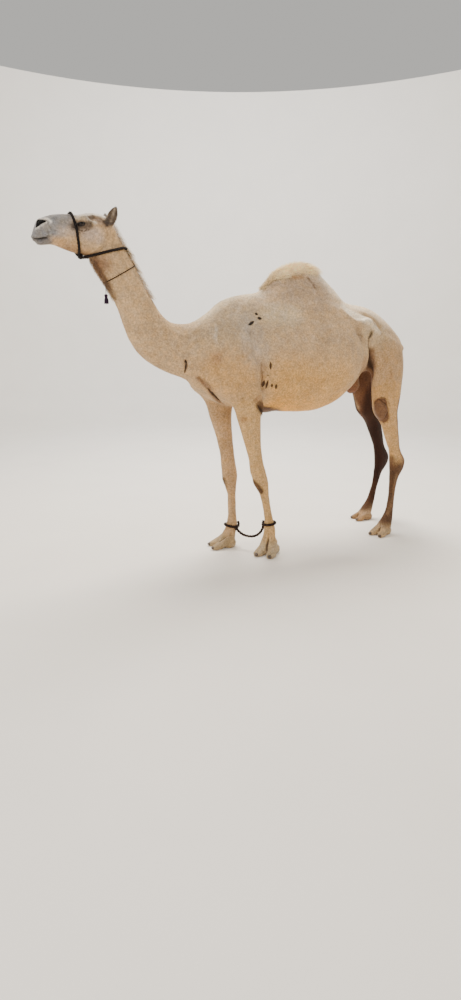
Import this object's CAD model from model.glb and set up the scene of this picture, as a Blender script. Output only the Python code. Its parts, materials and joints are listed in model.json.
"""The looks of a life-size standing dromedary in its halter, neck cord and hobble.

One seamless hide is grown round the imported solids, lies inside them by the depth of the coat,
and carries a coat of short mesh tufts. Points of the body are written (ahead, left, up) in
metres: ahead is counted from midway between the fore feet towards the head.
"""

import json
import logging
import math
from collections.abc import Iterator
from contextlib import contextmanager
from dataclasses import dataclass, field
from enum import Enum

import bmesh
import bpy
import numpy as np
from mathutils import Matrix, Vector, noise
from mathutils.bvhtree import BVHTree

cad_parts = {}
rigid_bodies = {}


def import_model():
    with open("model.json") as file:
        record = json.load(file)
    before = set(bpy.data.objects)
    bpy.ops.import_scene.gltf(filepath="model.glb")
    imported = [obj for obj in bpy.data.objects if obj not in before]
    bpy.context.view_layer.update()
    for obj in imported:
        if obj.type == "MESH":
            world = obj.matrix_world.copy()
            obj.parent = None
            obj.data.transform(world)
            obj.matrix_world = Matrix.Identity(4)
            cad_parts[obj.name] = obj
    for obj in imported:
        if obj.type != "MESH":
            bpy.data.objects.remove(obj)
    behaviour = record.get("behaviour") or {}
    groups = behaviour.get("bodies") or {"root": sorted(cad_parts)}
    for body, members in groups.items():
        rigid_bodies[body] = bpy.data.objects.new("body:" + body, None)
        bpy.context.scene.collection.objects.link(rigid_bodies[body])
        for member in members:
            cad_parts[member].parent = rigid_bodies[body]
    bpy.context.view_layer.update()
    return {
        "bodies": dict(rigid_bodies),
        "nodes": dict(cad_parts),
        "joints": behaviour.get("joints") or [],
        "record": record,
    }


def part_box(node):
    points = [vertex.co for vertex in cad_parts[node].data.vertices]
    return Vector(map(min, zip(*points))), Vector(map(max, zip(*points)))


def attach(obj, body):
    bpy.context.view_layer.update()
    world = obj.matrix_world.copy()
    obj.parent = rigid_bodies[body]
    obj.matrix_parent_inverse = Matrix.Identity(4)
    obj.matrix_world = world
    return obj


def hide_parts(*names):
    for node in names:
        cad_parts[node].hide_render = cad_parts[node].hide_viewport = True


LOG = logging.getLogger("camel")
BODY = "root"
BOX_MIDDLE_AHEAD = -0.0965    # where the row frame's origin lies, counted like "ahead"
MM = 0.001
SEAM = 0.00002                # points nearer than this are one point
REST = "rest"                 # where each point of the hide was before its lines were pressed in
FULL_TURN = 2 * math.pi
GOLDEN_ANGLE = 2.39996        # spreads points evenly over a disc
TO_BODY = np.array((-1.0, -1.0, 1.0))    # turns directions from the row frame to the body's, or back

Point = tuple[float, float, float]
Rows = np.ndarray
Form = bmesh.types.BMesh
Mesh = bpy.types.Mesh
Thing = bpy.types.Object
Material = bpy.types.Material
Socket = bpy.types.NodeSocket
EVEN: Point = (1.0, 1.0, 1.0)


class Side(Enum):
    """Which half of the body a detail is on."""

    LEFT = 1
    RIGHT = -1
    BOTH = 0


# ---------------------------------------------------------------- frames and arrays
def turned(points: Rows) -> Rows:
    """Turn points from the body's directions to the row frame, or back: it is its own reverse.

    Args:
        points: rows of (ahead, left, up), or of x, y, z.

    Returns:
        The same points in the other frame.
    """
    out = np.array(points, dtype=float).reshape(-1, 3)
    out[:, 0] = BOX_MIDDLE_AHEAD - out[:, 0]
    out[:, 1] = -out[:, 1]
    return out


def at(point: Point) -> Vector:
    """One point of the body, in the row frame."""
    return Vector(turned(np.array([point]))[0])


def unit(vectors: Rows) -> Rows:
    """Rows of vectors, each made one long."""
    length = np.linalg.norm(vectors, axis=-1, keepdims=True)
    return vectors / np.maximum(length, 1e-9)


def ramp(values: Rows, start: float, end: float) -> Rows:
    """A smooth rise from 0 where the values are at the start to 1 at the end."""
    share = np.clip((values - start) / (end - start), 0.0, 1.0)
    return share * share * (3.0 - 2.0 * share)


def path_distance(points: Rows, path: tuple[Point, ...]) -> tuple[Rows, Rows]:
    """How far points are from a line of straight stretches, and where along it they are nearest.

    Args:
        points: rows of points.
        path: the line's corners.

    Returns:
        The distances, and the places along the line from 0 to 1.
    """
    corners = np.array(path, dtype=float)
    best = np.full(len(points), np.inf)
    along = np.zeros(len(points))
    if len(corners) == 1:
        return np.linalg.norm(points - corners[0], axis=1), along
    for index, (start, end) in enumerate(zip(corners, corners[1:])):
        step = end - start
        share = np.clip(((points - start) @ step) / max(float(step @ step), 1e-12), 0.0, 1.0)
        gap = np.linalg.norm(points - start - share[:, None] * step, axis=1)
        nearer = gap < best
        best[nearer] = gap[nearer]
        along[nearer] = (index + share[nearer]) / (len(corners) - 1)
    return best, along


def folded(points: Rows, side: Side) -> tuple[Rows, Rows]:
    """Points as a detail of one side sees them.

    Args:
        points: rows of (ahead, left, up).
        side: where the detail is. A detail on both sides is written for the left one.

    Returns:
        The points with the right half turned onto the left where both count, and which count.
    """
    out = points.copy()
    if side is Side.BOTH:
        out[:, 1] = np.abs(out[:, 1])
        return out, np.ones(len(out), dtype=bool)
    return out, out[:, 1] * side.value > -0.01


def within(points: Rows, counts: Rows, path: tuple[Point, ...], reach: float) -> Rows:
    """The numbers of the points that count and lie in the box round a path.

    Args:
        points: rows of points.
        counts: which of them count.
        path: the corners of a line.
        reach: how far round them the box goes.

    Returns:
        The numbers of those points.
    """
    corners = np.array(path)
    low, high = corners.min(axis=0) - reach, corners.max(axis=0) + reach
    return np.flatnonzero(counts & np.all((points > low) & (points < high), axis=1))


# ---------------------------------------------------------------- mesh helpers
def read(data: bpy.types.bpy_prop_collection, name: str, width: int, kind: type = float) -> Rows:
    """One property of every element of a mesh.

    Args:
        data: the elements.
        name: the property's name.
        width: how many numbers each element has.
        kind: the numbers' type.

    Returns:
        A row for each element.
    """
    flat = np.empty(len(data) * width, dtype=np.float32 if kind is float else np.int32)
    data.foreach_get(name, flat)
    return flat.reshape(-1, width).astype(kind)


@contextmanager
def edited(mesh: Mesh) -> Iterator[Form]:
    """A mesh, opened for editing and written back afterwards.

    Args:
        mesh: the mesh.

    Yields:
        The mesh, open for editing.
    """
    form = bmesh.new()
    form.from_mesh(mesh)
    yield form
    form.to_mesh(mesh)
    form.free()


def faced_out(mesh: Mesh) -> Mesh:
    """The mesh, with its faces turned outwards and shaded smooth.

    Args:
        mesh: the mesh.

    Returns:
        The same mesh.
    """
    with edited(mesh) as form:
        bmesh.ops.recalc_face_normals(form, faces=form.faces)
    mesh.shade_smooth()
    return mesh


def points_of(mesh: Mesh) -> Rows:
    """The mesh's points as rows."""
    return read(mesh.vertices, "co", 3)


def normals_of(mesh: Mesh) -> Rows:
    """The mesh's normals at its points, as rows."""
    return read(mesh.vertex_normals, "vector", 3)


def ways_out(mesh: Mesh) -> Rows:
    """The mesh's normals, in the body's directions."""
    return normals_of(mesh) * TO_BODY


def move_points(mesh: Mesh, points: Rows) -> None:
    """Put the mesh's points at new places."""
    mesh.vertices.foreach_set("co", points.astype(np.float32).ravel())
    mesh.update()


def only(thing: Thing) -> Thing:
    """Select this object alone and make it the active one.

    Args:
        thing: the object.

    Returns:
        The same object.
    """
    bpy.ops.object.select_all(action="DESELECT")
    thing.select_set(True)
    bpy.context.view_layer.objects.active = thing
    return thing


def finish_with(thing: Thing, kind: str, **settings: object) -> None:
    """Give the object a modifier and apply it.

    Args:
        thing: the object.
        kind: the modifier's type.
        settings: the modifier's settings by name.
    """
    only(thing)
    modifier = thing.modifiers.new(kind.lower(), kind)
    for name, value in settings.items():
        setattr(modifier, name, value)
    bpy.ops.object.modifier_apply(modifier=modifier.name)


def new_piece(name: str, data: bpy.types.ID) -> Thing:
    """An object of the scene that holds the mesh, lamp or camera.

    Args:
        name: its name.
        data: what it holds.

    Returns:
        The object.
    """
    thing = bpy.data.objects.new(name, data)
    bpy.context.scene.collection.objects.link(thing)
    return thing


def mesh_from(name: str, points: Rows, faces: Rows | list) -> Mesh:
    """A mesh from rows of points and of faces.

    Args:
        name: the mesh's name.
        points: its points in the row frame.
        faces: for each face, the numbers of its points.

    Returns:
        The mesh, shaded smooth.
    """
    mesh = bpy.data.meshes.new(name)
    if isinstance(faces, Rows):
        count, width = faces.shape
        mesh.vertices.add(len(points))
        mesh.vertices.foreach_set("co", points.astype(np.float32).ravel())
        mesh.loops.add(count * width)
        mesh.loops.foreach_set("vertex_index", faces.astype(np.int32).ravel())
        mesh.polygons.add(count)
        mesh.polygons.foreach_set("loop_start", np.arange(count, dtype=np.int32) * width)
        mesh.update(calc_edges=True)
    else:
        mesh.from_pydata([tuple(point) for point in points], [], faces)
    mesh.shade_smooth()
    return mesh


def put_values(mesh: Mesh, name: str, values: Rows) -> None:
    """Store a number for each point."""
    mesh.attributes.new(name, "FLOAT", "POINT").data.foreach_set("value", values.astype(np.float32))


def put_places(mesh: Mesh, name: str, places: Rows) -> None:
    """Store a place for each point."""
    layer = mesh.attributes.new(name, "FLOAT_VECTOR", "POINT")
    layer.data.foreach_set("vector", places.astype(np.float32).ravel())


def places_of(mesh: Mesh, name: str) -> Rows:
    """The places stored for the points, as rows."""
    return read(mesh.attributes[name].data, "vector", 3)


def put_colours(mesh: Mesh, name: str, colours: Rows) -> None:
    """Store a colour for each point.

    Args:
        mesh: the mesh.
        name: the attribute's name.
        colours: rows of linear red, green and blue.
    """
    layer = mesh.attributes.new(name, "FLOAT_COLOR", "POINT")
    full = np.ones((len(colours), 4), dtype=np.float32)
    full[:, :3] = colours
    layer.data.foreach_set("color", full.ravel())


def smooth_line(corners: Rows, count: int, closed: bool) -> Rows:
    """Even points on a smooth curve through corners.

    Args:
        corners: rows of points.
        count: how many points to make.
        closed: whether the curve runs back to its start.

    Returns:
        The points, as rows.
    """
    number = len(corners)
    stretches = number if closed else number - 1
    made = []
    for index in range(stretches):
        if closed:
            p0, p1, p2, p3 = (corners[(index + shift) % number] for shift in (-1, 0, 1, 2))
        else:
            p1, p2 = corners[index], corners[index + 1]
            p0 = corners[index - 1] if index else 2 * p1 - p2
            p3 = corners[index + 2] if index + 2 < number else 2 * p2 - p1
        for t in np.linspace(0.0, 1.0, 16, endpoint=False):
            made.append(
                0.5 * (2 * p1 + (p2 - p0) * t + (2 * p0 - 5 * p1 + 4 * p2 - p3) * t**2
                       + (3 * p1 - 3 * p2 + p3 - p0) * t**3)
            )
    made.append(corners[0] if closed else corners[-1])
    fine = np.array(made)
    steps = np.concatenate(([0.0], np.cumsum(np.linalg.norm(np.diff(fine, axis=0), axis=1))))
    wanted = np.linspace(0.0, steps[-1], count + 1 if closed else count)
    even = np.stack([np.interp(wanted, steps, fine[:, axis]) for axis in range(3)], axis=1)
    return even[:-1] if closed else even


# ---------------------------------------------------------------- colour and materials
def linear(colour: str) -> tuple[float, float, float]:
    """An sRGB hex colour as linear red, green and blue."""
    parts = [int(colour[index:index + 2], 16) / 255 for index in (1, 3, 5)]
    return tuple(p / 12.92 if p <= 0.04045 else ((p + 0.055) / 1.055) ** 2.4 for p in parts)


class Nodes:
    """A material's node tree, with one small function that adds a node."""

    def __init__(self, name: str) -> None:
        """Start a material with a Principled shader.

        Args:
            name: the material's name.
        """
        self.material = bpy.data.materials.new(name)
        self.material.use_nodes = True
        self.tree = self.material.node_tree
        self.shader = self.tree.nodes["Principled BSDF"]

    def add(self, kind: str, links: dict | None = None, **settings: object) -> bpy.types.Node:
        """Add a node.

        Args:
            kind: the node's type.
            links: for each input, by name or number, what feeds it or its value.
            settings: the node's own settings.

        Returns:
            The node.
        """
        node = self.tree.nodes.new(kind)
        for name, value in settings.items():
            setattr(node, name, value)
        for name, value in (links or {}).items():
            self.feed(node.inputs[name], value)
        return node

    def feed(self, socket: Socket, value: object) -> None:
        """Link an output to a socket, or set the socket's value.

        Args:
            socket: the input.
            value: an output, or a value.
        """
        if isinstance(value, Socket):
            self.tree.links.new(value, socket)
        else:
            socket.default_value = value

    def surface(self, **inputs: object) -> Material:
        """Set the shader's inputs, spaces written as underscores, and return the material.

        Args:
            inputs: the inputs by name.

        Returns:
            The material.
        """
        for name, value in inputs.items():
            self.feed(self.shader.inputs[name.replace("_", " ")], value)
        return self.material

    def noise(self, size_mm: float, detail: float = 2.0, stretch: Point = EVEN) -> Socket:
        """Noise on the piece's own place.

        Args:
            size_mm: the grain's size.
            detail: how many finer grains are in it.
            stretch: how much longer the grain is along each axis.

        Returns:
            The noise, from 0 to 1.
        """
        place = self.add("ShaderNodeTexCoord").outputs["Object"]
        scale = tuple(1.0 / share for share in stretch)
        mapped = self.add("ShaderNodeMapping", {"Vector": place, "Scale": scale}).outputs[0]
        links = {"Vector": mapped, "Scale": 1.0 / (size_mm * MM), "Detail": detail}
        return self.add("ShaderNodeTexNoise", links).outputs["Fac"]

    def spread(self, value: Socket, low: float, high: float) -> Socket:
        """Map a value that mostly runs from 0.3 to 0.7 onto a range."""
        links = {"Value": value, "From Min": 0.3, "From Max": 0.7, "To Min": low, "To Max": high}
        return self.add("ShaderNodeMapRange", links).outputs[0]

    def mixed(self, share: object, first: object, second: object, blend: str = "MIX") -> Socket:
        """Two colours, mixed by a share or blended another way."""
        links = {0: share, 6: first, 7: second}
        return self.add("ShaderNodeMix", links, data_type="RGBA", blend_type=blend).outputs[2]

    def tinted(self, colour: object, share: object) -> Socket:
        """A colour made lighter or darker by a factor."""
        grey = self.add("ShaderNodeCombineXYZ", {0: share, 1: share, 2: share}).outputs[0]
        return self.mixed(1.0, colour, grey, "MULTIPLY")

    def flecked(self, colour: object, size_mm: float) -> Socket:
        """A coat colour, broken by pale and dark specks and by warmer and greyer patches.

        Args:
            colour: the coat's own colour.
            size_mm: the specks' size.

        Returns:
            The broken colour.
        """
        shade = self.tinted(colour, self.spread(self.noise(110.0, 4.0), 0.88, 1.1))
        shade = self.tinted(shade, self.spread(self.noise(size_mm, 4.0), 0.7, 1.24))
        warmth = self.spread(self.noise(38.0, 3.0), 0.0, 1.0)
        cast = self.mixed(warmth, (1.05, 1.0, 0.9, 1.0), (0.96, 1.0, 1.1, 1.0))
        return self.mixed(1.0, shade, cast, "MULTIPLY")

    def bump(self, height: Socket, depth_mm: float, after: object = None) -> Socket:
        """A bump of that depth, on top of another one if it is given.

        Args:
            height: what raises it.
            depth_mm: its depth.
            after: the bump under it.

        Returns:
            The bumped normal.
        """
        links = {"Height": height, "Distance": depth_mm * MM, "Strength": 1.0}
        if after is not None:
            links["Normal"] = after
        return self.add("ShaderNodeBump", links).outputs[0]


@dataclass(frozen=True)
class ShortCoat:
    """Short camel hair over hide: matt, soft at grazing light, finely mottled."""

    name: str = "short camel hair"
    roughness: float = 0.82
    sheen: float = 0.09
    clump_mm: float = 30.0    # hairs lie in small clumps
    speckle_mm: float = 12.0  # paler and darker hairs stand in specks
    grain_mm: float = 3.0     # drawn coarser than a hair, which would not show
    skin_mm: float = 5.0      # the wrinkled bare skin of lips and soles

    def along(self, nodes: Nodes, size_mm: float, share: object) -> Socket:
        """Streaks that run along the body, or down the legs and the neck.

        Args:
            nodes: the material's nodes.
            size_mm: the streaks' width.
            share: 1 where they run down.

        Returns:
            The streaks, from 0 to 1.
        """
        level = nodes.noise(size_mm, 2.0, (2.6, 1.0, 1.0))
        upright = nodes.noise(size_mm, 2.0, (1.0, 1.0, 2.6))
        return nodes.add("ShaderNodeMix", {0: share, 2: level, 3: upright}).outputs[0]

    def build(self) -> Material:
        """Make the material of the hide.

        Returns:
            The material.
        """
        nodes = Nodes(self.name)
        base = nodes.add("ShaderNodeAttribute", attribute_name="coat_colour").outputs["Color"]
        bare = nodes.add("ShaderNodeAttribute", attribute_name="bare").outputs["Fac"]
        down = nodes.add("ShaderNodeAttribute", attribute_name="hangs").outputs["Fac"]
        clumps = self.along(nodes, self.clump_mm, down)
        grain = self.along(nodes, self.grain_mm, down)
        cells = nodes.noise(self.skin_mm, 4.0)
        shade = nodes.flecked(base, self.speckle_mm)
        shade = nodes.tinted(shade, nodes.spread(clumps, 0.9, 1.07))
        shade = nodes.tinted(shade, nodes.spread(grain, 0.72, 1.2))
        links = {"Value": bare, "To Min": self.roughness, "To Max": 0.55}
        rough = nodes.add("ShaderNodeMapRange", links).outputs[0]
        relief = nodes.bump(clumps, 2.0)
        relief = nodes.bump(grain, 1.0, relief)
        relief = nodes.bump(cells, 0.6, relief)
        return nodes.surface(
            Base_Color=shade, Roughness=rough, Normal=relief, Specular_IOR_Level=0.25,
            Sheen_Weight=self.sheen, Sheen_Roughness=0.45,
        )


@dataclass(frozen=True)
class LooseHair:
    """Hair that stands off the hide in tufts: matt, lighter towards the tips."""

    name: str = "loose camel hair"
    roughness: float = 0.74
    sheen: float = 0.09

    def build(self) -> Material:
        """Make the material of the tufts.

        Returns:
            The material.
        """
        nodes = Nodes(self.name)
        base = nodes.add("ShaderNodeAttribute", attribute_name="coat_colour").outputs["Color"]
        strands = nodes.noise(3.0, 1.0)
        shade = nodes.flecked(base, ShortCoat.speckle_mm)
        shade = nodes.tinted(shade, nodes.spread(strands, 0.93, 1.07))
        return nodes.surface(
            Base_Color=shade, Roughness=self.roughness, Specular_IOR_Level=0.25,
            Sheen_Weight=self.sheen, Sheen_Roughness=0.4,
        )


@dataclass(frozen=True)
class WetEye:
    """A camel's dark brown eye under a clear wet cornea, with a level slot of a pupil."""

    name: str = "wet eye"

    def build(self) -> Material:
        """Make the material of the eyeball.

        Returns:
            The material.
        """
        nodes = Nodes(self.name)
        place = nodes.add("ShaderNodeAttribute", attribute_name="gaze").outputs["Vector"]
        parts = nodes.add("ShaderNodeSeparateXYZ", {0: place}).outputs
        streaks = nodes.spread(nodes.noise(1.6, 3.0), 0.6, 1.5)
        pupil = nodes.add("ShaderNodeMapRange", {"Value": parts[0], "From Min": 0.85, "From Max": 1.0})
        iris = nodes.add("ShaderNodeMapRange", {"Value": parts[1], "From Min": 0.92, "From Max": 1.06})
        brown = nodes.tinted((*linear("#1f120b"), 1.0), streaks)
        black = (*linear("#060505"), 1.0)
        white = (*linear("#33261f"), 1.0)
        inner = nodes.mixed(pupil.outputs[0], black, brown)
        whole = nodes.mixed(iris.outputs[0], inner, white)
        return nodes.surface(
            Base_Color=whole, Roughness=0.12, Specular_IOR_Level=0.25, Coat_Weight=0.35, Coat_Roughness=0.02
        )


@dataclass(frozen=True)
class Horn:
    """Dark grey-brown horn of the toenails, worn and dusty."""

    name: str = "worn horn nail"

    def build(self) -> Material:
        """Make the material of the nails.

        Returns:
            The material.
        """
        nodes = Nodes(self.name)
        rings = nodes.spread(nodes.noise(2.2, 3.0, (1.0, 1.0, 5.0)), 0.7, 1.35)
        shade = nodes.tinted((*linear("#4d4036"), 1.0), rings)
        relief = nodes.bump(nodes.noise(1.6, 2.0, (1.0, 1.0, 6.0)), 0.35)
        return nodes.surface(Base_Color=shade, Roughness=0.48, Normal=relief)


@dataclass(frozen=True)
class Twine:
    """Spun fibre: matt, with stray fibres and a fine twist along each strand."""

    name: str
    colour: str
    light: float = 1.5        # how much paler its worn fibres are
    fibre_mm: float = 1.2

    def build(self) -> Material:
        """Make the material of a rope, cord or tassel.

        Returns:
            The material.
        """
        nodes = Nodes(self.name)
        along = nodes.add("ShaderNodeUVMap", uv_map="lay").outputs[0]
        parts = nodes.add("ShaderNodeSeparateXYZ", {0: along}).outputs
        slant = nodes.add("ShaderNodeMath", {0: parts[0], 1: parts[1]}, operation="ADD").outputs[0]
        turns = nodes.add("ShaderNodeMath", {0: slant, 1: 3.0 * FULL_TURN}, operation="MULTIPLY").outputs[0]
        fibres = nodes.add("ShaderNodeMath", {0: turns}, operation="SINE").outputs[0]
        height = nodes.add("ShaderNodeMapRange", {"Value": fibres, "From Min": -1.0}).outputs[0]
        fuzz = nodes.noise(self.fibre_mm, 2.0)
        shade = nodes.tinted((*linear(self.colour), 1.0), nodes.spread(fuzz, 0.6, self.light))
        relief = nodes.bump(height, 0.25)
        relief = nodes.bump(fuzz, 0.5, relief)
        return nodes.surface(Base_Color=shade, Roughness=0.86, Normal=relief, Specular_IOR_Level=0.25)


@dataclass(frozen=True)
class PaleFloor:
    """A plain matt painted studio floor."""

    name: str = "matt studio paint"

    def build(self) -> Material:
        """Make the material of the floor.

        Returns:
            The material.
        """
        nodes = Nodes(self.name)
        shade = nodes.tinted((*linear("#f3eee5"), 1.0), nodes.spread(nodes.noise(600.0, 3.0), 0.985, 1.015))
        return nodes.surface(Base_Color=shade, Roughness=0.8)


# ---------------------------------------------------------------- lines and dents of the body
@dataclass(frozen=True)
class Stroke:
    """A soft line or spot raised from the hide, or pressed into it where its height is negative."""

    path: tuple[Point, ...]
    radius: float
    height: float
    side: Side = Side.BOTH


L, R, B = Side.LEFT, Side.RIGHT, Side.BOTH

NOSTRIL_REAR = (1.341, 0.05, 2.197)
NOSTRIL_FRONT = ((1.386, 0.037, 2.169), (1.381, 0.029, 2.187), (1.372, 0.021, 2.202))
NOSTRIL = tuple((NOSTRIL_REAR, front) for front in NOSTRIL_FRONT)
NOSE = (
    *(Stroke(line, 0.0095, -0.0075) for line in NOSTRIL),
    Stroke(NOSTRIL_FRONT, 0.0095, -0.006),
    Stroke(((1.358, 0.043, 2.193), (1.378, 0.033, 2.182)), 0.011, -0.011),
    Stroke(
        ((1.368, 0.018, 2.215), (1.347, 0.032, 2.215), (1.32, 0.046, 2.208), (1.306, 0.049, 2.196)),
        0.011, 0.003,
    ),
    Stroke(
        ((1.391, 0.038, 2.156), (1.366, 0.052, 2.168), (1.346, 0.055, 2.18), (1.33, 0.054, 2.19)),
        0.011, 0.003,
    ),
    Stroke(((1.4, 0.018, 2.196), (1.402, 0.024, 2.17)), 0.012, 0.003),
    Stroke(((1.322, 0.051, 2.186), (1.304, 0.052, 2.168), (1.3, 0.052, 2.15)), 0.011, -0.0034),
    Stroke(((1.42, 0.0, 2.165), (1.418, 0.0, 2.12)), 0.0055, -0.006),
    Stroke(((1.16, 0.048, 2.214), (1.215, 0.045, 2.205), (1.285, 0.04, 2.196)), 0.02, -0.0034),
    Stroke(((1.165, 0.064, 2.168), (1.215, 0.056, 2.164), (1.25, 0.052, 2.16)), 0.012, 0.003),
    Stroke(((1.3, 0.02, 2.228), (1.23, 0.022, 2.244), (1.17, 0.022, 2.256)), 0.02, 0.002),
)
MOUTH_LINE = (
    (1.412, 0.0, 2.115),
    (1.407, 0.015, 2.112),
    (1.4, 0.021, 2.102),
    (1.383, 0.03, 2.1),
    (1.354, 0.039, 2.107),
    (1.327, 0.042, 2.112),
    (1.307, 0.046, 2.122),
    (1.288, 0.05, 2.136),
)
MOUTH = (
    Stroke(MOUTH_LINE, 0.0095, -0.0065),
    Stroke(MOUTH_LINE, 0.004, -0.006),
    Stroke(
        ((1.404, 0.02, 2.122), (1.39, 0.032, 2.118), (1.362, 0.041, 2.122), (1.332, 0.048, 2.134)),
        0.013, 0.0048,
    ),
    Stroke(((1.388, 0.016, 2.086), (1.362, 0.028, 2.09), (1.332, 0.036, 2.102)), 0.011, 0.0045),
    Stroke(((1.284, 0.053, 2.156), (1.276, 0.054, 2.14), (1.274, 0.05, 2.122)), 0.007, -0.0036),
    Stroke(((1.27, 0.054, 2.158), (1.262, 0.054, 2.142)), 0.006, -0.002),
    Stroke(((1.336, 0.018, 2.078), (1.3, 0.03, 2.09), (1.276, 0.038, 2.102)), 0.009, -0.003),
    Stroke(((1.372, 0.044, 2.14), (1.34, 0.051, 2.15)), 0.006, -0.0012),
    Stroke(((1.366, 0.045, 2.15), (1.338, 0.052, 2.162)), 0.006, -0.0012),
)
BROW = (
    Stroke(
        ((1.172, 0.058, 2.214), (1.15, 0.069, 2.228), (1.131, 0.079, 2.236), (1.111, 0.077, 2.243)),
        0.014, 0.0052,
    ),
    Stroke(
        ((1.111, 0.078, 2.238), (1.101, 0.083, 2.222), (1.086, 0.08, 2.214), (1.06, 0.079, 2.208)),
        0.0105, 0.0048,
    ),
    Stroke(((1.096, 0.07, 2.24), (1.08, 0.066, 2.24), (1.068, 0.062, 2.243)), 0.016, -0.009),
    Stroke(((1.086, 0.072, 2.23), (1.078, 0.075, 2.223)), 0.01, -0.005),
    Stroke(((1.062, 0.079, 2.208), (1.02, 0.076, 2.2)), 0.012, 0.0034),
    Stroke(((1.048, 0.064, 2.236), (1.028, 0.064, 2.234)), 0.016, -0.004),
    Stroke(((1.13, 0.03, 2.262), (1.06, 0.034, 2.266)), 0.02, 0.0026),
    Stroke(((1.17, 0.0, 2.262), (1.08, 0.0, 2.272)), 0.016, -0.0026),
    Stroke(((1.178, 0.058, 2.196), (1.184, 0.058, 2.18)), 0.011, -0.003),
)
CHEEK = (
    Stroke(((1.085, 0.072, 2.14), (1.055, 0.072, 2.12)), 0.042, 0.0045),
    Stroke(
        ((0.984, 0.068, 2.17), (0.978, 0.066, 2.13), (1.0, 0.07, 2.086), (1.05, 0.058, 2.052)),
        0.023, -0.0048,
    ),
    Stroke(((1.13, 0.066, 2.14), (1.18, 0.056, 2.12), (1.24, 0.048, 2.115)), 0.016, -0.0032),
    Stroke(((1.15, 0.05, 2.09), (1.23, 0.04, 2.085)), 0.016, 0.0026),
    Stroke(((1.0, 0.078, 2.214), (0.985, 0.08, 2.196), (0.968, 0.075, 2.19)), 0.01, 0.003),
    Stroke(((1.014, 0.073, 2.222), (1.006, 0.076, 2.206)), 0.008, -0.004),
    Stroke(((1.02, 0.04, 2.01), (0.95, 0.055, 2.06), (0.9, 0.06, 2.11)), 0.02, -0.004),
    Stroke(((0.95, 0.03, 2.04), (1.01, 0.035, 1.9), (0.96, 0.04, 1.78)), 0.03, 0.003),
)
CHEST_FOLD = ((0.427, 0.098, 1.316), (0.373, 0.147, 1.257), (0.291, 0.08, 1.178), (0.188, 0.0, 1.12))
ELBOW_FOLD = ((0.037, 0.244, 1.196), (0.073, 0.244, 1.166))
FLANK_SCAR = ((-0.774, 0.254, 1.622), (-0.86, 0.24, 1.607), (-0.833, 0.259, 1.558))
NECK_FORM = (
    Stroke(((0.527, 0.11, 1.432), (0.521, 0.116, 1.4), (0.513, 0.092, 1.352)), 0.013, -0.008),
    Stroke(((0.548, 0.108, 1.43), (0.542, 0.1, 1.37)), 0.02, 0.005),
    Stroke(((0.5, 0.122, 1.42), (0.492, 0.11, 1.35)), 0.018, 0.004),
    Stroke(CHEST_FOLD, 0.022, -0.011),
    Stroke(((0.7, 0.085, 1.64), (0.84, 0.08, 1.83), (0.93, 0.068, 1.96)), 0.038, -0.005),
    Stroke(((0.56, 0.1, 1.6), (0.7, 0.095, 1.72), (0.8, 0.08, 1.9)), 0.045, 0.005),
    Stroke(((0.42, 0.12, 1.64), (0.5, 0.115, 1.56), (0.62, 0.1, 1.54)), 0.034, -0.004),
)
SHOULDER_FORM = (
    Stroke(((0.06, 0.195, 1.6), (0.048, 0.217, 1.453), (0.002, 0.221, 1.423)), 0.038, -0.008),
    Stroke(((-0.002, 0.221, 1.4), (-0.017, 0.204, 1.3), (-0.015, 0.199, 1.248)), 0.03, -0.009),
    Stroke(ELBOW_FOLD, 0.018, -0.007),
    Stroke(((0.075, 0.225, 1.42), (0.06, 0.235, 1.3), (0.05, 0.24, 1.22)), 0.048, 0.007),
    Stroke(((0.3, 0.16, 1.64), (0.27, 0.19, 1.5), (0.33, 0.19, 1.36)), 0.032, -0.006),
    Stroke(((0.33, 0.19, 1.32), (0.372, 0.19, 1.262)), 0.045, 0.006),
    Stroke(((0.09, 0.105, 1.79), (0.16, 0.15, 1.68), (0.22, 0.185, 1.56)), 0.036, 0.0045),
    Stroke(((0.18, 0.236, 1.185), (0.15, 0.24, 1.19)), 0.012, -0.0018),
    Stroke(((0.012, 0.222, 1.125),), 0.038, 0.006),
)
HIP_RIDGE = (
    (-0.69, 0.18, 1.775),
    (-0.724, 0.196, 1.746),
    (-0.787, 0.221, 1.698),
    (-0.865, 0.215, 1.696),
    (-0.91, 0.219, 1.705),
    (-0.961, 0.233, 1.662),
    (-1.035, 0.209, 1.628),
)
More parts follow.
